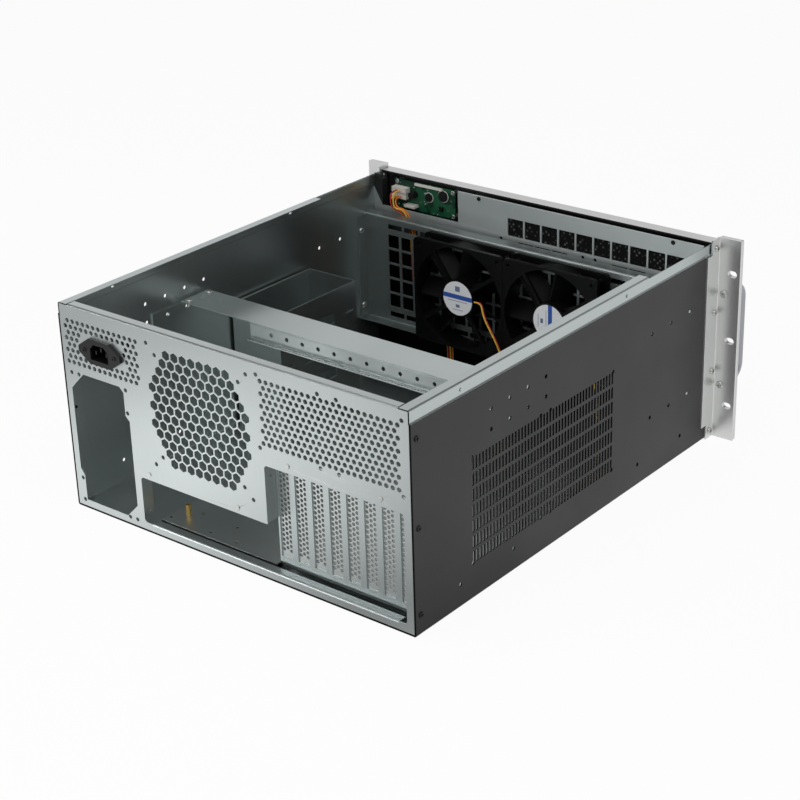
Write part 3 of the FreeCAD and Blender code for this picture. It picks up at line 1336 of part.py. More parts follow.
def handles():
    """Bar handles: three straight runs and two quarter bends in one piece, with a blind screw hole at
    each foot."""
    for side, sign in (("left", -1), ("right", 1)):
        x = f"{sign} * handle_x"
        high = "(handle_low + handle_span)"
        pieces = []
        for turn, z in enumerate(("handle_low", high)):
            pieces.append(rod(f"handle_{side}_leg_{turn}", "y", "handle_bar / 2",
                              f"{HANDLE_FRONT} + handle_bend", PLATE_FRONT, x=x, z=z))
        pieces.append(rod(f"handle_{side}_grip", "z", "handle_bar / 2", "handle_low + handle_bend",
                          f"{high} - handle_bend", x=x, y=HANDLE_FRONT))
        down, forward, up = Vector(0, 0, -1), Vector(0, -1, 0), Vector(0, 0, 1)
        for turn, (first, second, z) in enumerate(((down, forward, "handle_low + handle_bend"),
                                                   (forward, up, f"{high} - handle_bend"))):
            elbow = doc.addObject("Part::Torus", f"handle_{side}_elbow_{turn}")
            turned = FreeCAD.Rotation(first, second, first.cross(second))
            elbow.Placement = FreeCAD.Placement(Vector(), turned)
            bind(elbow, "Radius1", "handle_bend")
            bind(elbow, "Radius2", "handle_bar / 2")
            elbow.Angle3 = 90
            bind(elbow, "Placement.Base.x", x)
            bind(elbow, "Placement.Base.y", f"{HANDLE_FRONT} + handle_bend")
            bind(elbow, "Placement.Base.z", z)
            pieces.append(elbow)
        blind = holes(f"handle_{side}_holes", handle_spots(), s.screw + 0.1, "y",
                      -s.ear_steel - s.plate_thick - 12, -s.ear_steel)
        node(f"handle_{side}", cut(f"handle_{side}", fuse(f"handle_{side}_bar", *pieces), blind))
    node("handle_screws", screws("handle_screw_solids", handle_spots(), "y", 0, s.screw,
                                 -s.ear_steel - s.plate_thick - 10, 2 * s.screw, s.screw))


# ---- display, buttons and lights ----

BRACKET_BACK = "(steel - ear_steel)"
BOARD_REAR = "(board_y + board_thick)"


def display():
    """Text display behind the plate's window, its board on pillars, and the parts on the board."""
    x, z = "display_x", "display_z"
    glass_wide, glass_tall = "display_glass_width / 2", "display_glass_height / 2"
    node("display_window", slab("display_pane",
                                (f"{x} - {glass_wide} + fit_gap / 2", f"{x} + {glass_wide} - fit_gap / 2"),
                                (f"{PLATE_FRONT} + pane_inset", PLATE_BACK),
                                (f"{z} - {glass_tall} + fit_gap / 2", f"{z} + {glass_tall} - fit_gap / 2")))
    node("display_module", slab("display_block",
                                (f"{x} - {glass_wide} - module_rim", f"{x} + {glass_wide} + module_rim"),
                                (PLATE_BACK, "board_y"),
                                (f"{z} - {glass_tall} - module_rim", f"{z} + {glass_tall} + module_rim")))
    board = slab("display_board_sheet", (f"{x} - display_width / 2", f"{x} + display_width / 2"),
                 ("board_y", BOARD_REAR), (f"{z} - display_height / 2", f"{z} + display_height / 2"))
    board_holes = holes("display_board_holes", board_corners(), s.cover_hole, "y", s.board_y - RUN_OUT,
                        s.board_y + s.board_thick + RUN_OUT)
    node("display_board", cut("display_board", board, board_holes))
    node("display_screws", screws("display_screw_solids", board_corners(), "y", s.board_y + s.board_thick,
                                  s.board_y + s.board_thick + s.screw / 2, s.board_y,
                                  s.cover_hole + RUN_OUT, s.cover_hole - RUN_OUT / 10))


def board_corners():
    inset = 2 * s.pillar_radius + RUN_OUT
    return square(s.display_x, s.display_z, s.display_width - inset, s.display_height - inset)


def board_pillars():
    """Spacers under the corners of the display's board and under the buttons' board."""
    pillars = [rod(f"display_pillar_{k}", "y", "pillar_radius", BRACKET_BACK, "board_y", x=x, z=z)
               for k, (x, z) in enumerate(board_corners())]
    spots = ("light_x - light_pitch - switch_size / 2", "(button_x + reset_x) / 2")
    pillars += [rod(f"button_pillar_{k}", "y", "pillar_radius", PLATE_BACK, "board_y", x=x,
                    z="button_z + switch_size") for k, x in enumerate(spots)]
    node("board_pillars", group("board_pillars", *pillars))


def board_connectors():
    """Two stacked plugs, a pin header along the top edge, and a small side plug."""
    left, right = "(plug_x - plug_width / 2)", "(plug_x + plug_width / 2)"
    header_low = "(display_z + display_height / 2 - fit_gap - header_thick)"
    pieces = [slab("plug_upper", (left, right), (BOARD_REAR, f"{BOARD_REAR} + plug_depth"),
                   ("plug_z + plug_gap / 2", "plug_z + plug_gap / 2 + plug_height")),
              slab("plug_lower", (left, right), (BOARD_REAR, f"{BOARD_REAR} + plug_depth"),
                   ("plug_z - plug_gap / 2 - plug_height", "plug_z - plug_gap / 2")),
              slab("pin_header", ("header_x - header_length / 2", "header_x + header_length / 2"),
                   (BOARD_REAR, f"{BOARD_REAR} + header_thick"),
                   (header_low, f"{header_low} + header_thick")),
              slab("side_plug", (f"{left} - 2 * plug_height", f"{left} + plug_height / 2"),
                   (BOARD_REAR, f"{BOARD_REAR} + plug_depth"),
                   ("plug_z - 2.5 * plug_height", "plug_z - 2 * plug_height"))]
    node("board_connectors", group("board_connectors", *pieces))


def board_parts():
    """Sealed chips under round drops of resin, a capacitor and a trimmer."""
    middle = "(display_x - blob_radius - plug_gap)"
    step = "4 * blob_radius"
    parts = [rod("resin_drop", "y", "blob_radius", BOARD_REAR, f"{BOARD_REAR} + blob_thick", x=middle,
                 z="display_z + blob_radius / 2"),
             rod("large_resin_drop", "y", "blob_radius + blob_thick", BOARD_REAR,
                 f"{BOARD_REAR} + blob_thick", x=f"{middle} - {step}", z="display_z + blob_radius * 1.5"),
             rod("capacitor", "y", "capacitor_radius", BOARD_REAR, f"{BOARD_REAR} + plug_depth",
                 x=f"{middle} + {step}", z="display_z + blob_radius / 2"),
             slab("contrast_trimmer", (f"{middle} - {step}", f"{middle} - {step} + blob_radius"),
                  (BOARD_REAR, f"{BOARD_REAR} + header_thick"),
                  ("display_z - 2 * blob_radius", "display_z - blob_radius"))]
    node("board_parts", group("board_parts", *parts))


def display_bracket():
    """Black plate on the back of the front plate that frames the display."""
    x, z = "display_x", "display_z"
    plate = slab("display_bracket_sheet", ("display_cut_left - 2 * steel", f"{WALL_IN} - 2 * steel"),
                 (PLATE_BACK, BRACKET_BACK),
                 ("display_cut_bottom - 3 * steel", "plate_lip_top - ear_steel - fit_gap"))
    wide = "(display_glass_width / 2 + module_rim + fit_gap)"
    tall = "(display_glass_height / 2 + module_rim + fit_gap)"
    hollow = slab("display_bracket_hollow", (f"{x} - {wide}", f"{x} + {wide}"),
                  (f"{PLATE_BACK} - steel", f"{BRACKET_BACK} + steel"), (f"{z} - {tall}", f"{z} + {tall}"))
    node("display_bracket", cut("display_bracket", plate, hollow))


def button(name, x, radius):
    """Cap, collar and stem; the collar stops against the back of the plate."""
    seat = f"{PLATE_BACK} + button_gap"
    cap = rod(f"{name}_cap", "y", radius, f"{PLATE_FRONT} - button_proud", seat, x=x, z="button_z")
    collar = rod(f"{name}_collar", "y", f"{radius} + collar", seat, f"{seat} + collar", x=x, z="button_z")
    stem = rod(f"{name}_stem", "y", "collar", seat, "board_y - switch_depth - button_travel - button_gap",
               x=x, z="button_z")
    node(name, fuse(name, cap, collar, stem))


def button_board():
    """Small board behind the plate, with two push switches and two lights."""
    rim = "switch_size * 1.5"
    board = slab("button_board_sheet", (f"light_x - light_pitch - {rim}", f"button_x + {rim}"),
                 ("board_y", BOARD_REAR), (f"button_z - {rim}", f"button_z + {rim}"))
    node("button_board", board)
    switches = [slab(f"switch_{k}", (f"{x} - switch_size / 2", f"{x} + switch_size / 2"),
                     ("board_y - switch_depth", "board_y"),
                     ("button_z - switch_size / 2", "button_z + switch_size / 2"))
                for k, x in enumerate(("button_x", "reset_x"))]
    node("button_switches", group("button_switches", *switches))
    lights = []
    for k in range(2):
        lights.append(rod(f"light_{k}", "y", "light_radius - button_gap", f"{PLATE_FRONT} - fit_gap",
                          "board_y", x=f"light_x - {k} * light_pitch", z="button_z"))
    node("status_lights", group("status_lights", *lights))


# ---- wiring ----

STRAND_PITCH = 1.8
# Width, depth and height of the plugs at the leads' free ends.
DISPLAY_PLUG = (12.0, 7.0, 14.0)
FAN_PLUG = (6.0, 7.0, 12.0)


def free_plug(name, x, y, size):
    """A plug that stands on the floor; its wires enter from above."""
    width, depth, height = size
    return slab(name, (x - width / 2, x + width / 2), (y - depth / 2, y + depth / 2),
                ("steel", f"steel + {height}"))


def display_leads():
    """Five wires from the two stacked plugs, over the edge of the display's opening and down between
    the two walls to a plug on the floor.  The upper plug's two wires weave across the lower plug's."""
    face = s.board_y + s.board_thick + s.plug_depth
    start_x = s.plug_x
    upper = s.plug_z + (s.plug_gap + s.plug_height) / 2
    lower = s.plug_z - (s.plug_gap + s.plug_height) / 2
    y = (s.subpanel_y + s.fan_wall_y - s.fan_wall_flange - STRAND_PITCH) / 2
    top = s.fan_wall_top
    # Stops along the way: x, y, z, the bundle's lean in degrees, and the weaving wires' shift.
    route = [(start_x - 4, y + 5.5, top + 8, 20, 0.9), (start_x - 12, y, top + 4.5, 40, -0.9),
             (start_x - 23, y, top - 9, 30, 0.9), (start_x - 30, y + 5, top - 24, 10, -0.9),
             (start_x - 32, y + 6, top - 58, 0, 0.9), (start_x - 33, y + 6, top - 88, 25, 0),
             (start_x - 46, y + 6, top - 106, 60, 0.9), (start_x - 66, y + 6, top - 116, 60, -0.9),
             (start_x - 78, y + 6, top - 132, 20, 0), (start_x - 80, y + 6, top - 146, 0, 0)]
    plug_top = s.steel + DISPLAY_PLUG[2]
    strands = []
    for k in range(5):
        layer = k % 2
        across = (k - 2) * STRAND_PITCH
        back = layer * STRAND_PITCH
        height = upper if layer else lower
        points = [(start_x + across, face, height), (start_x + across, y + 3.5 + back, height)]
        for stop_x, stop_y, stop_z, lean, weave in route:
            aside = across + weave * layer
            tilt = math.radians(lean)
            points.append((stop_x + aside * math.cos(tilt), stop_y + back, stop_z - aside * math.sin(tilt)))
        points.append((points[-1][0], points[-1][1], plug_top))
        strands.append(cable(f"display lead {k + 1}", points, s.wire))
    node("display_wires", shape("display_wire_solids", Part.makeCompound(strands)))
    end_x, end_y = route[-1][:2]
    return free_plug("display_plug", end_x, end_y + STRAND_PITCH / 2, DISPLAY_PLUG)


def fan_lead(index):
    """Two wires from the side of the fan's hub, out over the frame and down to a plug on the floor."""
    x, rear = fan_x(index), s.fan_wall_y + s.fan_depth
    seat = rear - s.fan_flange / 2 - STRAND_PITCH / 2
    reach = s.hub_radius
    # Stops behind the start: x from the fan's middle, y from the hub's side, z from the fan's middle.
    route = [(-reach - 9, 0, 0), (-reach - 17, 5, -14), (-reach - 28, 8, -26), (-reach - 38, 8, -42),
             (-reach - 44, 8, -60), (-reach - 45, 8, -80)]
    plug_top = s.steel + FAN_PLUG[2]
    pair = []
    for k in range(2):
        y = seat + k * STRAND_PITCH
        points = [(x - reach, y, s.fan_z)]
        points += [(x + dx, y + dy, s.fan_z + dz) for dx, dy, dz in route]
        points.append((points[-1][0], points[-1][1], plug_top))
        pair.append(cable(f"fan lead {index + 1}.{k + 1}", points, s.wire))
    node(f"fan_lead_{index + 1}", shape(f"fan_lead_{index + 1}_strands", Part.makeCompound(pair)))
    end_x, end_y, _ = points[-1]
    return free_plug(f"fan_plug_{index + 1}", end_x, end_y - STRAND_PITCH / 2, FAN_PLUG)


def wiring():
    """The leads of the display and of the two fans, and the plugs at their ends."""
    node("lead_plugs", group("lead_plugs", display_leads(), fan_lead(0), fan_lead(1)))


chassis()
rear_panel()
rivets()
slot_frame()
slot_covers()
power_inlet()
motherboard_tray()
standoff()
hold_down_bar()
bar_brackets()
drive_cage()
fan_wall()
panel_screws()
rear_screws()
for number in range(2):
    fan(number)
    impeller(number)
fan_labels()
fan_screws()
front_subpanel()
dust_filter()
front_plate()
ear_brackets()
ear_screws()
handles()
display()
board_pillars()
board_connectors()
board_parts()
display_bracket()
button("power_button", "button_x", "button_radius")
button("reset_button", "reset_x", "reset_radius")
button_board()
wiring()

doc.recompute()
for piece in doc.Objects:
    if "Invalid" in piece.State or "Error" in piece.State:
        raise RuntimeError(f"{piece.Label}: {piece.State}")
for piece in NODES:
    if piece.Shape.isNull() or not piece.Shape.isValid():
        raise RuntimeError(f"{piece.Label} has no valid shape")
os.makedirs("parts", exist_ok=True)
for piece in NODES:
    piece.Shape.exportStep(f"parts/{piece.Label}.step")
    box = piece.Shape.BoundBox
    spans = ((box.XMin, box.XMax), (box.YMin, box.YMax), (box.ZMin, box.ZMax))
    places = "  ".join(f"{low:7.1f} {high:7.1f}" for low, high in spans)
    print(f"{piece.Label:20s} solids {len(piece.Shape.Solids):3d}  volume {piece.Shape.Volume:9.0f}  {places}")
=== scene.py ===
import math

import bmesh
import bpy
from mathutils import Matrix, Vector


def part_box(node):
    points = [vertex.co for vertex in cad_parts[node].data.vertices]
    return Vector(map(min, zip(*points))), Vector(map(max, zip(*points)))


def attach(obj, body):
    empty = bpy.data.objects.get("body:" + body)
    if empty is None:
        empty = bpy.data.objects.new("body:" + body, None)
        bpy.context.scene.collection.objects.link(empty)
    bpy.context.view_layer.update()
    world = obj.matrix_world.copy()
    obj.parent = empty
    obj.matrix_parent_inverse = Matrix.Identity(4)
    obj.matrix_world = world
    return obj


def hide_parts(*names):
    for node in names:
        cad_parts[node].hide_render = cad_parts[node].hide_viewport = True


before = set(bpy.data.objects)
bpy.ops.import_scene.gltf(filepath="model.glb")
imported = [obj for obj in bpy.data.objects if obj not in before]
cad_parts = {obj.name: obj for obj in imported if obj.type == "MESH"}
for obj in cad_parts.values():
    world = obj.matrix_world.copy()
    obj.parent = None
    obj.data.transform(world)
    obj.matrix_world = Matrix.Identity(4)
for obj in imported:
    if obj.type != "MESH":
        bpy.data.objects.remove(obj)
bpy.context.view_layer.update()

MM = 0.001
# The rack plane, the back of the ears, lies this far along y in the frame of the case.
RACK_Y = -231.0
# The rear panel's dark seam, the body's paint lapping over it and painted shadow in the gap, starts at
# # this distance from the middle and ends at this height.
SEAM_SIDE, SEAM_LOW = 212.9, 2.1
# The inner front wall carries painted shade: black this far below the fan wall's top, bare this far
# above it.
PAINTED_SHADE_BELOW, SHADE_FREE_ABOVE = 26.0, 22.0
# The side walls end in bare strips this high; a face this near a plane counts as lying on it.
STRIP_HEIGHT, HAIR = 12.5, 0.2
# Middles of the two fans, x and z.
FAN_MIDDLES = ((64.5, 113.2), (-55.5, 113.2))
BLACK_TONE = (0.004, 0.004, 0.004)
# Stretch that flattens a texture along y, so that it runs through an upright board or pad.
ON_BOARD = (1.0, 0.0, 1.0)


def place(x, y, z):
    """A point given in millimetres from the rack plane, in metres in the frame of the case."""
    return Vector((x, y + RACK_Y, z)) * MM


# ---- material building blocks ----

class Look:
    """A principled material and short ways to feed its sockets."""

    def __init__(self, name, color, metallic=0.0, roughness=0.5, **more):
        self.material = bpy.data.materials.new(name)
        self.material.use_nodes = True
        self.tree = self.material.node_tree
        self.bsdf = self.tree.nodes["Principled BSDF"]
        self.bsdf.inputs["Base Color"].default_value = (*color, 1.0)
        self.bsdf.inputs["Metallic"].default_value = metallic
        self.bsdf.inputs["Roughness"].default_value = roughness
        for socket, value in more.items():
            self.bsdf.inputs[socket.replace("_", " ")].default_value = value
        self.normal = None

    def node(self, kind, **inputs):
        made = self.tree.nodes.new(kind)
        for socket, value in inputs.items():
            target = made.inputs[int(socket[1:])] if socket[0] == "i" and socket[1:].isdigit() else \
                made.inputs[socket.replace("_", " ")]
            if isinstance(value, bpy.types.NodeSocket):
                self.tree.links.new(value, target)
            else:
                target.default_value = value
        return made

    def coordinates(self, stretch=(1.0, 1.0, 1.0)):
        """Position on the piece, in metres, that stays with it when it moves."""
        source = self.tree.nodes.new("ShaderNodeTexCoord").outputs["Object"]
        mapping = self.node("ShaderNodeMapping", Vector=source)
        mapping.inputs["Scale"].default_value = stretch
        return mapping.outputs["Vector"]

    def noise(self, scale, detail, stretch=(1.0, 1.0, 1.0)):
        return self.node("ShaderNodeTexNoise", Vector=self.coordinates(stretch), Scale=scale,
                         Detail=detail).outputs["Fac"]

    def spread(self, value, low, high, start=0.3, stop=0.7):
        """Maps the middle part of a texture's range to low..high."""
        return self.node("ShaderNodeMapRange", Value=value, From_Min=start, From_Max=stop, To_Min=low,
                         To_Max=high).outputs["Result"]

    def mix(self, factor, first, second):
        made = self.tree.nodes.new("ShaderNodeMix")
        made.data_type = "RGBA"
        for index, value in ((0, factor), (6, first), (7, second)):
            if isinstance(value, bpy.types.NodeSocket):
                self.tree.links.new(value, made.inputs[index])
            elif index:
                made.inputs[index].default_value = (*value, 1.0)
            else:
                made.inputs[index].default_value = value
        return made.outputs[2]

    def math(self, operation, first, second=0.0):
        made = self.tree.nodes.new("ShaderNodeMath")
        made.operation = operation
        for index, value in enumerate((first, second)):
            if isinstance(value, bpy.types.NodeSocket):
                self.tree.links.new(value, made.inputs[index])
            else:
                made.inputs[index].default_value = value
        return made.outputs[0]

    def axes(self):
        """The three parts of the position on the piece."""
        return self.node("ShaderNodeSeparateXYZ", Vector=self.coordinates()).outputs

    def feed(self, socket, value):
        self.tree.links.new(value, self.bsdf.inputs[socket])

    def uneven_gloss(self, scale, detail, low, high, **middle):
        """Lets the roughness wander between two values."""
        self.feed("Roughness", self.spread(self.noise(scale, detail), low, high, **middle))

    def cloudy(self, scale, detail, color, share):
        """Lets the colour wander down to a share of itself."""
        self.feed("Base Color", self.mix(self.spread(self.noise(scale, detail), 0.0, 1.0), color,
                                         tuple(share * part for part in color)))

    def round_edges(self, radius):
        """Softens sharp edges in the shading by a small radius in millimetres."""
        self.normal = self.node("ShaderNodeBevel", Radius=radius * MM).outputs["Normal"]
        self.feed("Normal", self.normal)

    def bump(self, height, strength, distance):
        """Raises the surface by a texture; the distance is in millimetres. Returns the material."""
        made = self.node("ShaderNodeBump", Height=height, Strength=strength, Distance=distance * MM)
        if self.normal is not None:
            self.tree.links.new(self.normal, made.inputs["Normal"])
        self.normal = made.outputs["Normal"]
        self.feed("Normal", self.normal)
        return self.material


def coated_steel(name, color, metallic, roughness, rim=False, dark=None):
    """Zinc-coated sheet: faint cloudy tone, fine rolled grain, slight unevenness in its gloss. A rim
    is the dark seam along the outer edges of the rear panel: the body's paint lapping over it, widened
    by painted shadow in the gap. Dark is painted shade and gives two heights in metres: black up to the
    first, bare from the second. A roughness that stays above 0.28 keeps the denoised steel free of
    contour lines."""
    look = Look(name, color, metallic, roughness)
    cloud = look.noise(7.0, 1.0)
    grain = look.noise(520.0, 1.0, (1.0, 1.0, 0.1))
    darker = tuple(0.9 * part for part in color)
    tone = look.math("ADD", look.spread(cloud, 0.0, 0.75, 0.2, 0.8),
                     look.spread(grain, 0.0, 0.25, 0.2, 0.8))
    shade = look.mix(tone, color, darker)
    # The rim: the body's black paint lapping over the panel's edges, widened into painted shadow in the
    # seam.
    if rim:
        x, _, z = look.axes()
        sides = look.math("GREATER_THAN", look.math("ABSOLUTE", x), SEAM_SIDE * MM)
        black = look.math("MAXIMUM", sides, look.math("LESS_THAN", z, SEAM_LOW * MM))
    # Painted shade: the sheet turns black low down, where the fan wall before it shades it.
    if dark:
        black = look.spread(look.axes()[2], 1.0, 0.0, *dark)
    if rim or dark:
        bare = look.math("SUBTRACT", 1.0, black)
        shade = look.mix(black, shade, BLACK_TONE)
        look.feed("Metallic", look.math("MULTIPLY", bare, metallic))
        look.feed("Specular IOR Level", look.math("MULTIPLY", bare, 0.5))
    look.feed("Base Color", shade)
    look.uneven_gloss(11.0, 1.0, roughness - 0.02, roughness + 0.05, start=0.2, stop=0.8)
    look.round_edges(0.35)
    return look.bump(grain, 0.03, 0.02)


def powder_coat(name, color, roughness):
    """Black paint with a fine even texture."""
    look = Look(name, color, 0.0, roughness, Specular_IOR_Level=0.45)
    look.uneven_gloss(12.0, 3.0, roughness - 0.04, roughness + 0.05)
    look.round_edges(0.4)
    return look.bump(look.noise(1900.0, 2.0), 0.25, 0.06)


def paint_edge(name):
    """Thick dull black paint on the cut ends of the sheet."""
    look = Look(name, BLACK_TONE, 0.0, 0.8, Specular_IOR_Level=0.12)
    look.uneven_gloss(90.0, 2.0, 0.75, 0.9)
    return look.material


def moulded(name, color, roughness, grain=900.0, **more):
    """Moulded plastic with a light spark-eroded texture."""
    look = Look(name, color, 0.0, roughness, **more)
    look.uneven_gloss(40.0, 3.0, roughness - 0.05, roughness + 0.07)
    look.round_edges(0.5)
    return look.bump(look.noise(grain, 2.0), 0.12, 0.04)


def turned_metal(name, color, roughness):
    """Plated or turned metal of screws, pins and the brass pillar."""
    look = Look(name, color, 1.0, roughness)
    look.uneven_gloss(300.0, 2.0, roughness - 0.05, roughness + 0.1)
    look.round_edges(0.3)
    return look.material


def blasted_aluminium(name, color, roughness):
    """Bead-blasted and anodised metal of the front plate, handles and buttons."""
    look = Look(name, color, 0.9, roughness)
    look.cloudy(14.0, 3.0, color, 0.94)
    look.round_edges(0.5)
    return look.bump(look.noise(2400.0, 2.0), 0.16, 0.04)


def disc_label(name, centre, turn):
    """White round label with a blue band and a few plain grey lines, without any text."""
    white, band_blue, line_grey = (0.85, 0.86, 0.88), (0.03, 0.10, 0.42), (0.16, 0.2, 0.34)
    look = Look(name, white, 0.0, 0.35)
    x, _, z = look.axes()
    across = look.math("SUBTRACT", x, centre.x)
    up = look.math("SUBTRACT", z, centre.z)
    cosine, sine = math.cos(turn), math.sin(turn)
    along = look.math("ADD", look.math("MULTIPLY", across, cosine), look.math("MULTIPLY", up, sine))
    height = look.math("SUBTRACT", look.math("MULTIPLY", up, cosine),
                       look.math("MULTIPLY", across, sine))

    def stripe(value, low, high):
        return look.math("MULTIPLY", look.math("GREATER_THAN", value, low * MM),
                         look.math("LESS_THAN", value, high * MM))

    color = look.mix(stripe(height, -0.8, 4.4), white, band_blue)
    for low, high, reach in ((-3.6, -3.0, 13.0), (-13.6, -13.0, 7.0), (-10.5, -7.0, 2.6),
                             (8.0, 14.0, 3.2)):
        line = look.math("MULTIPLY", stripe(height, low, high), stripe(along, -reach, reach))
        color = look.mix(line, color, line_grey)
    look.feed("Base Color", color)
    return look.material


def circuit_board(name, rings=()):
    """Green solder mask over straight copper tracks, with pale pads and pale printed rings, each
    given by its centre's x and z and its radius."""
    solder_mask, track_green = (0.003, 0.03, 0.014), (0.012, 0.085, 0.04)
    look = Look(name, solder_mask, 0.0, 0.35, Specular_IOR_Level=0.4)
    tracks = look.node("ShaderNodeTexBrick", Vector=look.coordinates(ON_BOARD), Scale=1.0,
                       Mortar_Size=0.4 * MM, Brick_Width=9 * MM, Row_Height=2.2 * MM, Mortar_Smooth=0.0)
    mask = look.math("MULTIPLY", tracks.outputs["Fac"],
                     look.spread(look.noise(70.0, 2.0), 0.0, 1.0, 0.45, 0.5))
    color = look.mix(mask, solder_mask, track_green)
    specks = look.node("ShaderNodeTexVoronoi", Vector=look.coordinates((1.0, 0.0, 1.6)), Scale=240.0)
    pads = look.math("MULTIPLY", look.math("LESS_THAN", specks.outputs["Distance"], 0.22),
                     look.math("GREATER_THAN", look.noise(90.0, 1.0), 0.56))
    color = look.mix(pads, color, (0.5, 0.54, 0.5))
    for x, z, radius in rings:
        away = look.node("ShaderNodeVectorMath", i0=look.coordinates(ON_BOARD), i1=Vector((x, 0.0, z)))
        away.operation = "DISTANCE"
        ring = look.math("LESS_THAN", away.outputs["Value"], radius)
        color = look.mix(ring, color, (0.62, 0.66, 0.6))
    look.feed("Base Color", color)
    look.round_edges(0.2)
    return look.bump(tracks.outputs["Fac"], 0.2, 0.05)


def filter_cloth(name):
    """Black open filter with staggered paler dots, where light comes through its cells."""
    look = Look(name, (0.004, 0.004, 0.004), 0.0, 0.8, Specular_IOR_Level=0.15)
    turned = look.node("ShaderNodeMapping", Vector=look.coordinates(ON_BOARD))
    turned.inputs["Rotation"].default_value = (0.0, math.radians(45), 0.0)
    cells = look.node("ShaderNodeTexVoronoi", Vector=turned.outputs["Vector"], Scale=205.0,
                      Randomness=0.4)
    dot = look.spread(cells.outputs["Distance"], 1.0, 0.0, 0.12, 0.34)
    uneven = look.math("MULTIPLY", dot, look.spread(look.noise(150.0, 2.0), 0.25, 1.0, 0.35, 0.65))
    look.feed("Base Color", look.mix(uneven, (0.002, 0.002, 0.002), (0.12, 0.125, 0.125)))
    return look.bump(dot, 0.4, 0.6)


def wire_cover(name, color):
    """Soft plastic insulation."""
    look = Look(name, color, 0.0, 0.38)
    look.cloudy(60.0, 2.0, color, 0.8)
    return look.material


def tinted_glass(name):
    """The display's dark blue window."""
    look = Look(name, (0.05, 0.09, 0.13), 0.0, 0.08, Specular_IOR_Level=0.6, Coat_Weight=0.6)
    look.uneven_gloss(20.0, 2.0, 0.06, 0.12)
    return look.material


def lens(name):
    """The pale green cap of a status light."""
    look = Look(name, (0.35, 0.62, 0.42), 0.0, 0.2, Transmission_Weight=0.3)
    look.uneven_gloss(400.0, 2.0, 0.18, 0.3)
    return look.material


FAN_WALL_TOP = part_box("fan_wall")[1].z
ZINC = coated_steel("zinc_sheet", (0.56, 0.615, 0.61), 0.99, 0.31)
# The rear panel, with its dark seam of lapped paint and painted shadow along the outer edges.
ZINC_REAR = coated_steel("rear_zinc_sheet", (0.56, 0.605, 0.602), 0.97, 0.31, rim=True)
# Painted shade: the inner front wall goes black below the fan wall's top.
ZINC_PAINTED_SHADE = coated_steel("zinc_sheet_painted_shade", (0.62, 0.67, 0.665), 0.85, 0.4,
                           dark=(FAN_WALL_TOP - PAINTED_SHADE_BELOW * MM, FAN_WALL_TOP + SHADE_FREE_ABOVE * MM))
# Painted shade: a darker copy of the zinc for the fan wall, which stands deep in the case.
ZINC_PAINTED_DARKER = coated_steel("zinc_sheet_darkened_as_shade", (0.36, 0.4, 0.395), 0.9, 0.38)
ZINC_BRIGHT = coated_steel("bright_zinc_sheet", (0.62, 0.66, 0.65), 0.97, 0.31)
BLACK = powder_coat("black_powder_coat", (0.012, 0.012, 0.0125), 0.4)
EDGE = paint_edge("painted_edge")
SILVER = blasted_aluminium("silver_plate", (0.72, 0.72, 0.72), 0.34)
EAR = coated_steel("ear_sheet", (0.82, 0.83, 0.82), 0.9, 0.31)
SCREW = turned_metal("plated_screw", (0.58, 0.59, 0.57), 0.3)
DARK_SCREW = turned_metal("blackened_screw", (0.04, 0.04, 0.042), 0.4)
HANDLE = blasted_aluminium("handle_grey", (0.42, 0.43, 0.45), 0.36)
BRASS = turned_metal("brass", (0.72, 0.5, 0.18), 0.28)
PLASTIC = moulded("black_plastic", (0.005, 0.005, 0.0055), 0.4, Specular_IOR_Level=0.35)
FAN = moulded("fan_plastic", (0.003, 0.003, 0.0035), 0.38, 700.0, Specular_IOR_Level=0.14)
WHITE = moulded("white_plastic", (0.6, 0.59, 0.54), 0.45)
BUTTON = blasted_aluminium("button_metal", (0.62, 0.62, 0.64), 0.3)
BOARD = circuit_board("green_board")
FILTER = filter_cloth("filter_cloth")
GLASS = tinted_glass("display_glass")
LENS = lens("light_lens")
RED = wire_cover("red_wire", (0.5, 0.03, 0.03))
ORANGE = wire_cover("orange_wire", (0.82, 0.22, 0.015))
YELLOW = wire_cover("yellow_wire", (0.8, 0.52, 0.05))


# ---- pieces ----

def paint(name, *materials):
    """Gives a CAD node its materials, the first one on every face."""
    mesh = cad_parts[name].data
    mesh.materials.clear()
    for material in materials:
        mesh.materials.append(material)
    for face in mesh.polygons:
        face.material_index = 0
    return mesh


def two_tone_body():
    """Black paint on what faces out of the folded body, bare zinc inside and on its top strips."""
    mesh = paint("chassis", ZINC, BLACK, EDGE)
    low, high = (Vector(corner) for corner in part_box("chassis"))
    step = high.z - STRIP_HEIGHT * MM
    for face in mesh.polygons:
        middle, normal = face.center, face.normal
        inward, low_down = high.x - abs(middle.x), middle.z < step
        outside = inward < HAIR * MM and abs(normal.x) > 0.9 and low_down
        below = middle.z < low.z + HAIR * MM and normal.z < -0.9
        bends = middle.z < 2.3 * MM and inward < 2.4 * MM and abs(normal.x) > 0.1 and normal.z < -0.1
        rear_end = middle.y > high.y - MM and normal.y > 0.9
        front_end = middle.y < low.y + 2.5 * MM and low_down and inward > 2.0 * MM
        holes = inward < 1.3 * MM and abs(normal.x) < 0.5 and low_down and \
            abs(middle.z - low.z) > 3 * MM
        if rear_end or front_end or holes:
            face.material_index = 2
        elif outside or below or bends:
            face.material_index = 1


def backed(name, face_material, back_material):
    """A panel whose rear side has a finish of its own."""
    mesh = paint(name, face_material, back_material)
    for face in mesh.polygons:
        face.material_index = int(face.normal.y > 0.7)


def dark_strip_panel():
    """The inner front wall, with painted shade low down where the fan wall shades it; its narrow strip
    beside the display is painted black.
    """
    mesh = paint("front_subpanel", ZINC_PAINTED_SHADE, BLACK)
    edge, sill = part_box("display_board")[1].x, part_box("display_board")[0].z
    for face in mesh.polygons:
        face.material_index = int(face.center.x > edge and
                                  (face.center.z > sill or abs(face.normal.x) > 0.9))


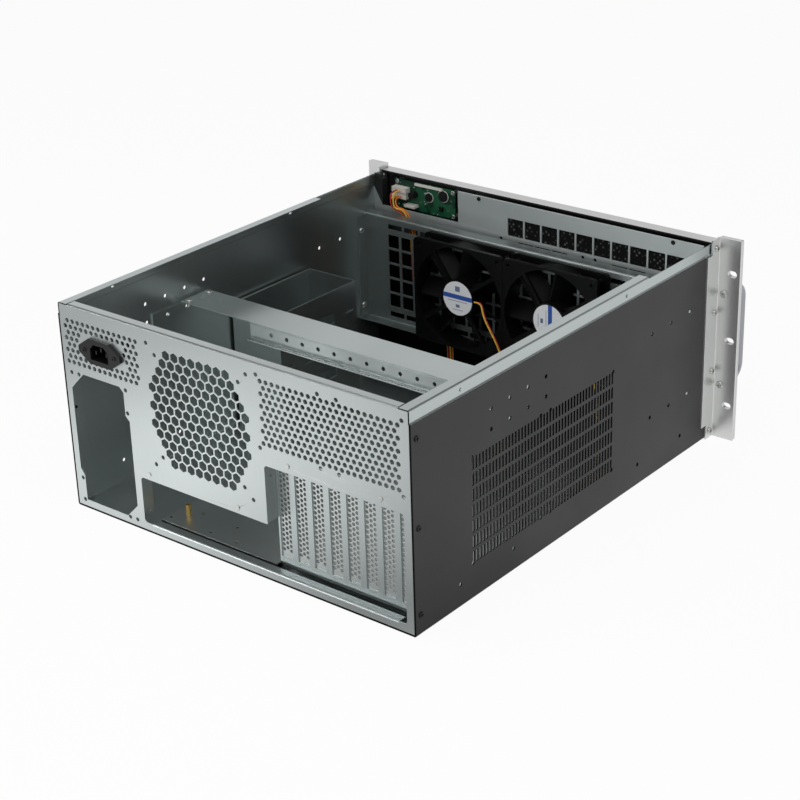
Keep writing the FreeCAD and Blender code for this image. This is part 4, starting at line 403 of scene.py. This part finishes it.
def islands(mesh):
    """Groups of face numbers that hang together by shared places, in order of their x."""
    keys = {}
    owner = list(range(len(mesh.vertices)))

    def root(k):
        while owner[k] != k:
            owner[k] = owner[owner[k]]
            k = owner[k]
        return k

    for vertex in mesh.vertices:
        key = tuple(round(part, 6) for part in vertex.co)
        owner[root(vertex.index)] = root(keys.setdefault(key, vertex.index))
    groups = {}
    for face in mesh.polygons:
        first = root(face.vertices[0])
        for other in face.vertices[1:]:
            owner[root(other)] = root(first)
    for face in mesh.polygons:
        groups.setdefault(root(face.vertices[0]), []).append(face.index)
    return sorted(groups.values(), key=lambda faces: max(mesh.polygons[k].center.x for k in faces))


def extent(mesh, faces):
    """The corners of a group of faces, and the low and high ends of the box round them."""
    points = [mesh.vertices[k].co for index in faces for k in mesh.polygons[index].vertices]
    low, high = (Vector(bound(point[a] for point in points) for a in range(3)) for bound in (min, max))
    return points, low, high


def printed_rings():
    """Centre and radius of the rings printed round the display board's round flat parts."""
    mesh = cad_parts["board_parts"].data
    rings = []
    for faces in islands(mesh):
        _, low, high = extent(mesh, faces)
        span, middle = high - low, (low + high) / 2
        if abs(span.x - span.z) < HAIR * MM and span.y < span.x / 4:
            rings.append((middle.x, middle.z, span.x / 2 + 0.9 * MM))
    return rings


def strands(name, *materials):
    """One colour for each wire of a lead."""
    mesh = paint(name, *materials)
    for number, faces in enumerate(islands(mesh)):
        for k in faces:
            mesh.polygons[k].material_index = number % len(materials)


def merged_copy(node):
    """The mesh of a CAD node, copied, with its doubled corners joined."""
    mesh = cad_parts[node].data.copy()
    build = bmesh.new()
    build.from_mesh(mesh)
    bmesh.ops.remove_doubles(build, verts=build.verts, dist=1e-6)
    build.to_mesh(mesh)
    build.free()
    return mesh


def cut_away(node, mesh, tools, material):
    """Cuts a mesh of tools out of a CAD node's mesh; the result stands for the node."""
    scene = bpy.context.scene.collection
    piece = bpy.data.objects.new(node + "_cut", mesh)
    tool = bpy.data.objects.new("tools", tools)
    for made in (piece, tool):
        scene.objects.link(made)
    change = piece.modifiers.new("cut", "BOOLEAN")
    change.operation = "DIFFERENCE"
    change.solver = "EXACT"
    change.object = tool
    bpy.context.view_layer.update()
    graph = bpy.context.evaluated_depsgraph_get()
    finished = bpy.data.meshes.new_from_object(piece.evaluated_get(graph))
    piece.modifiers.clear()
    piece.data = finished
    bpy.data.objects.remove(tool)
    finished.materials.clear()
    finished.materials.append(material)
    for face in finished.polygons:
        face.material_index = 0
    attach(piece, "case")
    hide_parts(node)
    return piece


def extruded(build, outline, step):
    """Adds the closed prism between an outline and the same outline one step further."""
    rings = [[build.verts.new(point + shift) for point in outline] for shift in (Vector(), step)]
    build.faces.new(rings[0])
    build.faces.new(rings[1][::-1])
    for k in range(len(outline)):
        after = (k + 1) % len(outline)
        build.faces.new((rings[0][k], rings[1][k], rings[1][after], rings[0][after]))


def tool_mesh(build):
    """Turns what was built into a mesh with its faces outward."""
    bmesh.ops.recalc_face_normals(build, faces=build.faces)
    mesh = bpy.data.meshes.new("tools")
    build.to_mesh(mesh)
    build.free()
    return mesh


def cross_headed(node, material):
    """The screws of a node with a cross recess in every head, each turned its own way."""
    mesh = merged_copy(node)
    build = bmesh.new()
    for number, faces in enumerate(islands(mesh)):
        points, low, high = extent(mesh, faces)
        span, centre = high - low, (low + high) / 2
        axis = min(range(3), key=lambda a: abs(span[(a + 1) % 3] - span[(a + 2) % 3]))
        first, second = (axis + 1) % 3, (axis + 2) % 3

        def width(end):
            return max(abs(point[first] - centre[first]) for point in points
                       if abs(point[axis] - end) < 0.01 * MM)

        outward = 1 if width(high[axis]) > width(low[axis]) else -1
        radius = span[first] / 2
        arm, thick, deep = 0.56 * radius, 0.15 * radius, 0.34 * radius
        turn = 0.9 * number
        outline = []
        for quarter in range(4):
            for along, across in ((arm, -thick), (arm, thick), (thick, thick)):
                angle = turn + math.radians(90) * quarter
                point = centre.copy()
                point[first] += along * math.cos(angle) - across * math.sin(angle)
                point[second] += along * math.sin(angle) + across * math.cos(angle)
                point[axis] = (high if outward > 0 else low)[axis] + outward * deep
                outline.append(point)
        step = Vector()
        step[axis] = -2 * outward * deep
        extruded(build, outline, step)
    return cut_away(node, mesh, tool_mesh(build), material)


def darken_front_screws(piece):
    """The two screws in the top of the inner front wall are black, unlike the fan wall's."""
    piece.data.materials.append(DARK_SCREW)
    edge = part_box("front_subpanel")[1].y + 3 * MM
    for face in piece.data.polygons:
        face.material_index = int(face.center.y < edge)


def perforated(node, centres, radius, sides, low_y, high_y, material, slot):
    """A copy of a CAD node with round holes punched along y; it stands for the node."""
    build = bmesh.new()
    angles = [2 * math.pi * (k + 0.5) / sides for k in range(sides)]
    for x, z in centres:
        extruded(build, [place(x + radius * math.cos(angle), low_y, z + radius * math.sin(angle))
                         for angle in angles], Vector((0.0, (high_y - low_y) * MM, 0.0)))
    cut_away(node, merged_copy(node), tool_mesh(build), material)


# The rear panel's fine vent field beside the fan grille: its first hole, rows, holes in odd and in
# even rows, pitch along a row and from row to row. Hole radius and the number of sides it is cut with.
FIELD_START, FIELD_ROWS, FIELD_COLUMNS = (-45.7, 201.7), 11, (23, 22)
FIELD_PITCH, FIELD_RISE = 7.05, 6.1
REAR_HOLE, REAR_SIDES = 2.45, 14
# Screw holes of two 80 mm fans in that field: middles along x, height, half the pitch, room round each.
VENT_FANS_X, VENT_FANS_Z, VENT_FAN_SCREW, SCREW_ROOM = (-76.9, -169.7), 171.1, 35.75, 3.2
# The vent field round the power inlet: starts of its odd and even rows, top, rows, holes in a row and
# pitches. Rows beside the inlet keep only so many holes at their start and at their end.
INLET_STARTS, INLET_TOP, INLET_ROWS, INLET_COLUMNS = (202.9, 206.1), 201.4, 8, 14
INLET_PITCH, INLET_RISE = 7.1, 6.13
BESIDE_INLET = {2: (3, 3), 3: (3, 3), 4: (2, 3), 5: (3, 2)}
# Holes of a slot cover: height of the top and lowest one, pitch, radius and sides; the first cover's
# middle and the pitch of the slots.
COVER_TOP, COVER_FOOT, COVER_PITCH = 113.0, 24.5, 5.0
COVER_HOLE, COVER_SIDES = 1.85, 10
FIRST_COVER, SLOT_PITCH, COVERS = -53.7, 20.32, 8
# Depths between which the holes of the rear panel and of the slot covers are cut.
REAR_PANEL_Y, COVER_Y = (497.0, 502.0), (482.0, 487.0)


def rear_holes():
    """The fine vent field of the rear panel and the one round its power inlet."""
    start, top = FIELD_START
    field = [(start - (row % 2) * FIELD_PITCH / 2 - k * FIELD_PITCH, top - row * FIELD_RISE)
             for row in range(FIELD_ROWS) for k in range(FIELD_COLUMNS[row % 2])]
    fans = [(x + a * VENT_FAN_SCREW, VENT_FANS_Z + b * VENT_FAN_SCREW)
            for x in VENT_FANS_X for a in (-1, 1) for b in (-1, 1)]
    field = [spot for spot in field if all(math.dist(spot, fan) > SCREW_ROOM for fan in fans)]
    inlet = []
    for row in range(INLET_ROWS):
        left, right = BESIDE_INLET.get(row, (INLET_COLUMNS, 0))
        inlet += [(INLET_STARTS[row % 2] - k * INLET_PITCH, INLET_TOP - row * INLET_RISE)
                  for k in range(INLET_COLUMNS) if k < left or k >= INLET_COLUMNS - right]
    return field + inlet


def cover_holes(middle):
    """Honeycomb of round holes down a slot cover, above its plain foot."""
    rows = int((COVER_TOP - COVER_FOOT) / COVER_PITCH) + 1
    beside = COVER_PITCH * math.sin(math.radians(60))
    centres = [(middle + side * beside, COVER_TOP - row * COVER_PITCH) for row in range(rows)
               for side in (-1, 1)]
    centres += [(middle, COVER_TOP - (row + 0.5) * COVER_PITCH) for row in range(rows - 1)]
    return centres


two_tone_body()
backed("front_plate", SILVER, BLACK)
dark_strip_panel()
perforated("rear_panel", rear_holes(), REAR_HOLE, REAR_SIDES, *REAR_PANEL_Y, ZINC_REAR, "zinc")
for number in range(COVERS):
    perforated(f"slot_cover_{number + 1}", cover_holes(FIRST_COVER - number * SLOT_PITCH), COVER_HOLE,
               COVER_SIDES, *COVER_Y, ZINC_BRIGHT, "bright_zinc")
for material, names in (
        (ZINC, ("slot_frame", "hold_down_bar", "bar_hooks", "bar_bracket_left", "bar_bracket_right",
                "drive_cage")),
        # The fan wall takes the darker zinc, painted shade.
        (ZINC_PAINTED_DARKER, ("fan_wall",)),
        (ZINC_BRIGHT, ("motherboard_tray",)),
        (EAR, ("ear_bracket_left", "ear_bracket_right")),
        (SCREW, ("rivets",)),
        (DARK_SCREW, ("inlet_pins",)),
        (HANDLE, ("handle_left", "handle_right")),
        (BRASS, ("standoff",)),
        (BLACK, ("display_bracket",)),
        (PLASTIC, ("power_inlet", "display_module", "board_parts", "button_switches", "lead_plugs")),
        (FAN, ("fan_frame_1", "fan_frame_2", "impeller_1", "impeller_2")),
        (FILTER, ("dust_filter",)),
        (BOARD, ("button_board",)),
        (WHITE, ("board_connectors",)),
        (GLASS, ("display_window",)),
        (BUTTON, ("power_button", "reset_button", "board_pillars")),
        (LENS, ("status_lights",))):
    for name in names:
        paint(name, material)
for name in ("slot_cover_screws", "bar_screws", "ear_screws", "handle_screws", "display_screws"):
    cross_headed(name, SCREW)
darken_front_screws(cross_headed("panel_screws", SCREW))
for name in ("rear_screws", "fan_screws", "inlet_fixings"):
    cross_headed(name, DARK_SCREW)
for number, look_name, degrees in ((1, "fan_label_one", 0.0), (2, "fan_label_two", 90.0)):
    x, z = FAN_MIDDLES[number - 1]
    paint(f"fan_label_{number}", disc_label(look_name, place(x, 0, z), math.radians(degrees)))
paint("display_board", circuit_board("display_board_green", printed_rings()))
strands("display_wires", ORANGE, YELLOW, ORANGE, RED, YELLOW)
for name in ("fan_lead_1", "fan_lead_2"):
    strands(name, RED, YELLOW)


# ---- studio ----

# Lamps: name, place, the point it shines at, width, height and power in watts.
LAMPS = (("key_light", (-0.2, 0.9, 1.8), (0.0, 0.0, 0.1), 2.4, 2.4, 24.0),
         ("rear_light", (1.5, 1.6, 0.7), (0.0, 0.1, 0.1), 1.2, 0.6, 10.0),
         ("side_light", (-2.0, 0.4, 1.0), (0.0, 0.0, 0.1), 1.2, 1.2, 4.0))
# The camera's direction and tilt in degrees, lens in millimetres, distance in metres and target.
AZIMUTH, ELEVATION, ROLL = 219.396, 24.679, -1.765
LENS_LENGTH, DISTANCE, TARGET = 86.508, 1.9556, (7.928, 241.155, 71.807)


def area_light(name, place_at, look_at, width, height, power):
    data = bpy.data.lights.new(name, "AREA")
    data.shape = "RECTANGLE"
    data.size = width
    data.size_y = height
    data.energy = power
    lamp = bpy.data.objects.new(name, data)
    lamp.location = place_at
    lamp.rotation_euler = (Vector(look_at) - Vector(place_at)).to_track_quat("-Z", "Y").to_euler()
    bpy.context.scene.collection.objects.link(lamp)


class Paths:
    """Nodes that tell a tree which rays see the white surroundings."""

    def __init__(self, tree):
        self.tree = tree
        self.rays = tree.nodes.new("ShaderNodeLightPath").outputs

    def largest(self, *names):
        """One where any of the named kinds of ray arrives, else zero."""
        result = self.rays[names[0]]
        for name in names[1:]:
            step = self.tree.nodes.new("ShaderNodeMath")
            step.operation = "MAXIMUM"
            self.tree.links.new(result, step.inputs[0])
            self.tree.links.new(self.rays[name], step.inputs[1])
            result = step.outputs[0]
        return result


# The bright backdrop stands on this side of the case, seen from above; the room is darker opposite.
BACKDROP_SIDE = (0.635, -0.773)
# Strengths of the backdrop, of the room opposite, of the light overhead and of the even fill.
BACKDROP, ROOM, OVERHEAD, FILL = 0.88, 0.15, 0.1, 0.3
# How far round the room reaches, as the cosine of the angle to the backdrop's side.
ROOM_EDGE = (-0.8, -0.3)
# Heights, as the sine of the elevation, between which the backdrop fades out, and how much higher
# it reaches on its own side.
BACKDROP_TOP, BACKDROP_RISE = (0.17, 0.42), 0.3
# Share of the floor that shows as plain white, and how bright it is in reflections: painted light, a lit
# # patch near the rear panel, a dimmer ring of painted shade round it and an even brightness farther
# off.
# # The reaches, in metres from the patch's middle, are where each gives way to the next.
FLOOR_GLOW = 0.94
PAINTED_LIGHT_PATCH = (0.21, 0.44, 0.0)
PATCH_REACH, RING_REACH = (0.08, 0.38), (0.42, 0.62)
PATCH_BRIGHT, RING_BRIGHT, FAR_BRIGHT = 1.35, 0.35, 0.85


def surroundings():
    """White seen directly; in reflections a white backdrop on one side and a dim room elsewhere."""
    world = bpy.data.worlds.new("studio")
    bpy.context.scene.world = world
    world.use_nodes = True
    tree = world.node_tree
    tree.nodes.clear()
    paths = Paths(tree)

    def light(strength):
        made = tree.nodes.new("ShaderNodeBackground")
        made.inputs["Color"].default_value = (1.0, 1.0, 1.0, 1.0)
        made.inputs["Strength"].default_value = strength
        return made.outputs["Background"]

    def blend(factor, first, second):
        made = tree.nodes.new("ShaderNodeMixShader")
        tree.links.new(factor, made.inputs["Fac"])
        tree.links.new(first, made.inputs[1])
        tree.links.new(second, made.inputs[2])
        return made.outputs["Shader"]

    def rise(value, start, stop):
        made = tree.nodes.new("ShaderNodeMapRange")
        made.interpolation_type = "SMOOTHSTEP"
        made.inputs["From Min"].default_value = start
        made.inputs["From Max"].default_value = stop
        tree.links.new(value, made.inputs["Value"])
        return made.outputs["Result"]

    direction = tree.nodes.new("ShaderNodeTexCoord").outputs["Generated"]
    split = tree.nodes.new("ShaderNodeSeparateXYZ")
    tree.links.new(direction, split.inputs["Vector"])
    side = tree.nodes.new("ShaderNodeVectorMath")
    side.operation = "DOT_PRODUCT"
    side.inputs[1].default_value = (*BACKDROP_SIDE, 0.0)
    tree.links.new(direction, side.inputs[0])
    around = blend(rise(side.outputs["Value"], *ROOM_EDGE), light(ROOM), light(BACKDROP))
    level = tree.nodes.new("ShaderNodeMath")
    level.operation = "MULTIPLY_ADD"
    tree.links.new(side.outputs["Value"], level.inputs[0])
    level.inputs[1].default_value = -BACKDROP_RISE
    tree.links.new(split.outputs["Z"], level.inputs[2])
    reflected = blend(rise(level.outputs["Value"], *BACKDROP_TOP), around, light(OVERHEAD))
    spread = blend(paths.largest("Is Glossy Ray", "Is Transmission Ray"), light(FILL), reflected)
    output = tree.nodes.new("ShaderNodeOutputWorld")
    tree.links.new(blend(paths.rays["Is Camera Ray"], spread, light(1.0)), output.inputs["Surface"])


def floor():
    """Pale floor: white where it is seen directly, with a light shadow; in reflections it glows
    unevenly, with painted light and shade.
    """
    bpy.ops.mesh.primitive_plane_add(size=14.0, location=(0.0, 0.0, -0.3 * MM))
    ground = bpy.context.object
    ground.name = "floor"
    look = Look("floor_paint", (0.9, 0.9, 0.9), 0.0, 0.9)
    look.feed("Base Color", look.mix(look.spread(look.noise(2.0, 2.0), 0.0, 1.0), (0.91, 0.91, 0.91),
                                     (0.89, 0.89, 0.89)))
    # Painted light for reflections: a glowing patch near the rear panel and a painted darker ring round
    # it.
    away = look.node("ShaderNodeVectorMath", i0=look.coordinates(), i1=Vector(PAINTED_LIGHT_PATCH))
    away.operation = "DISTANCE"
    patch = look.math("ADD", look.spread(away.outputs["Value"], PATCH_BRIGHT, RING_BRIGHT, *PATCH_REACH),
                      look.spread(away.outputs["Value"], 0.0, FAR_BRIGHT - RING_BRIGHT, *RING_REACH))
    paths = Paths(look.tree)
    strength = look.node("ShaderNodeMix", i0=paths.rays["Is Camera Ray"], i2=patch, i3=1.0)
    glow = look.node("ShaderNodeEmission", Strength=strength.outputs[0])
    share = look.math("MULTIPLY", paths.largest("Is Camera Ray", "Is Glossy Ray", "Is Transmission Ray"),
                      FLOOR_GLOW)
    mix = look.node("ShaderNodeMixShader", Fac=share, i1=look.bsdf.outputs["BSDF"],
                    i2=glow.outputs["Emission"])
    look.tree.links.new(mix.outputs["Shader"], look.tree.nodes["Material Output"].inputs["Surface"])
    ground.data.materials.append(look.material)


def studio():
    """White surroundings and three soft lamps."""
    bpy.context.scene.view_settings.view_transform = "Standard"
    surroundings()
    floor()
    for lamp in LAMPS:
        area_light(*lamp)


def camera():
    """The view from above and behind, past the corner between the rear panel and the vented wall."""
    azimuth, elevation, roll = (math.radians(angle) for angle in (AZIMUTH, ELEVATION, ROLL))
    back = Vector((math.sin(azimuth) * math.cos(elevation), -math.cos(azimuth) * math.cos(elevation),
                   math.sin(elevation)))
    right = Vector((math.cos(azimuth), math.sin(azimuth), 0.0))
    up = back.cross(right)
    rolled_right = math.cos(roll) * right + math.sin(roll) * up
    rolled_up = math.cos(roll) * up - math.sin(roll) * right
    data = bpy.data.cameras.new("camera")
    data.sensor_width = 36.0
    data.lens = LENS_LENGTH
    eye = bpy.data.objects.new("camera", data)
    position = place(*TARGET) + back * DISTANCE
    axes = Matrix((rolled_right, rolled_up, back)).transposed()
    eye.matrix_world = Matrix.Translation(position) @ axes.to_4x4()
    bpy.context.scene.collection.objects.link(eye)
    bpy.context.scene.camera = eye


studio()
camera()
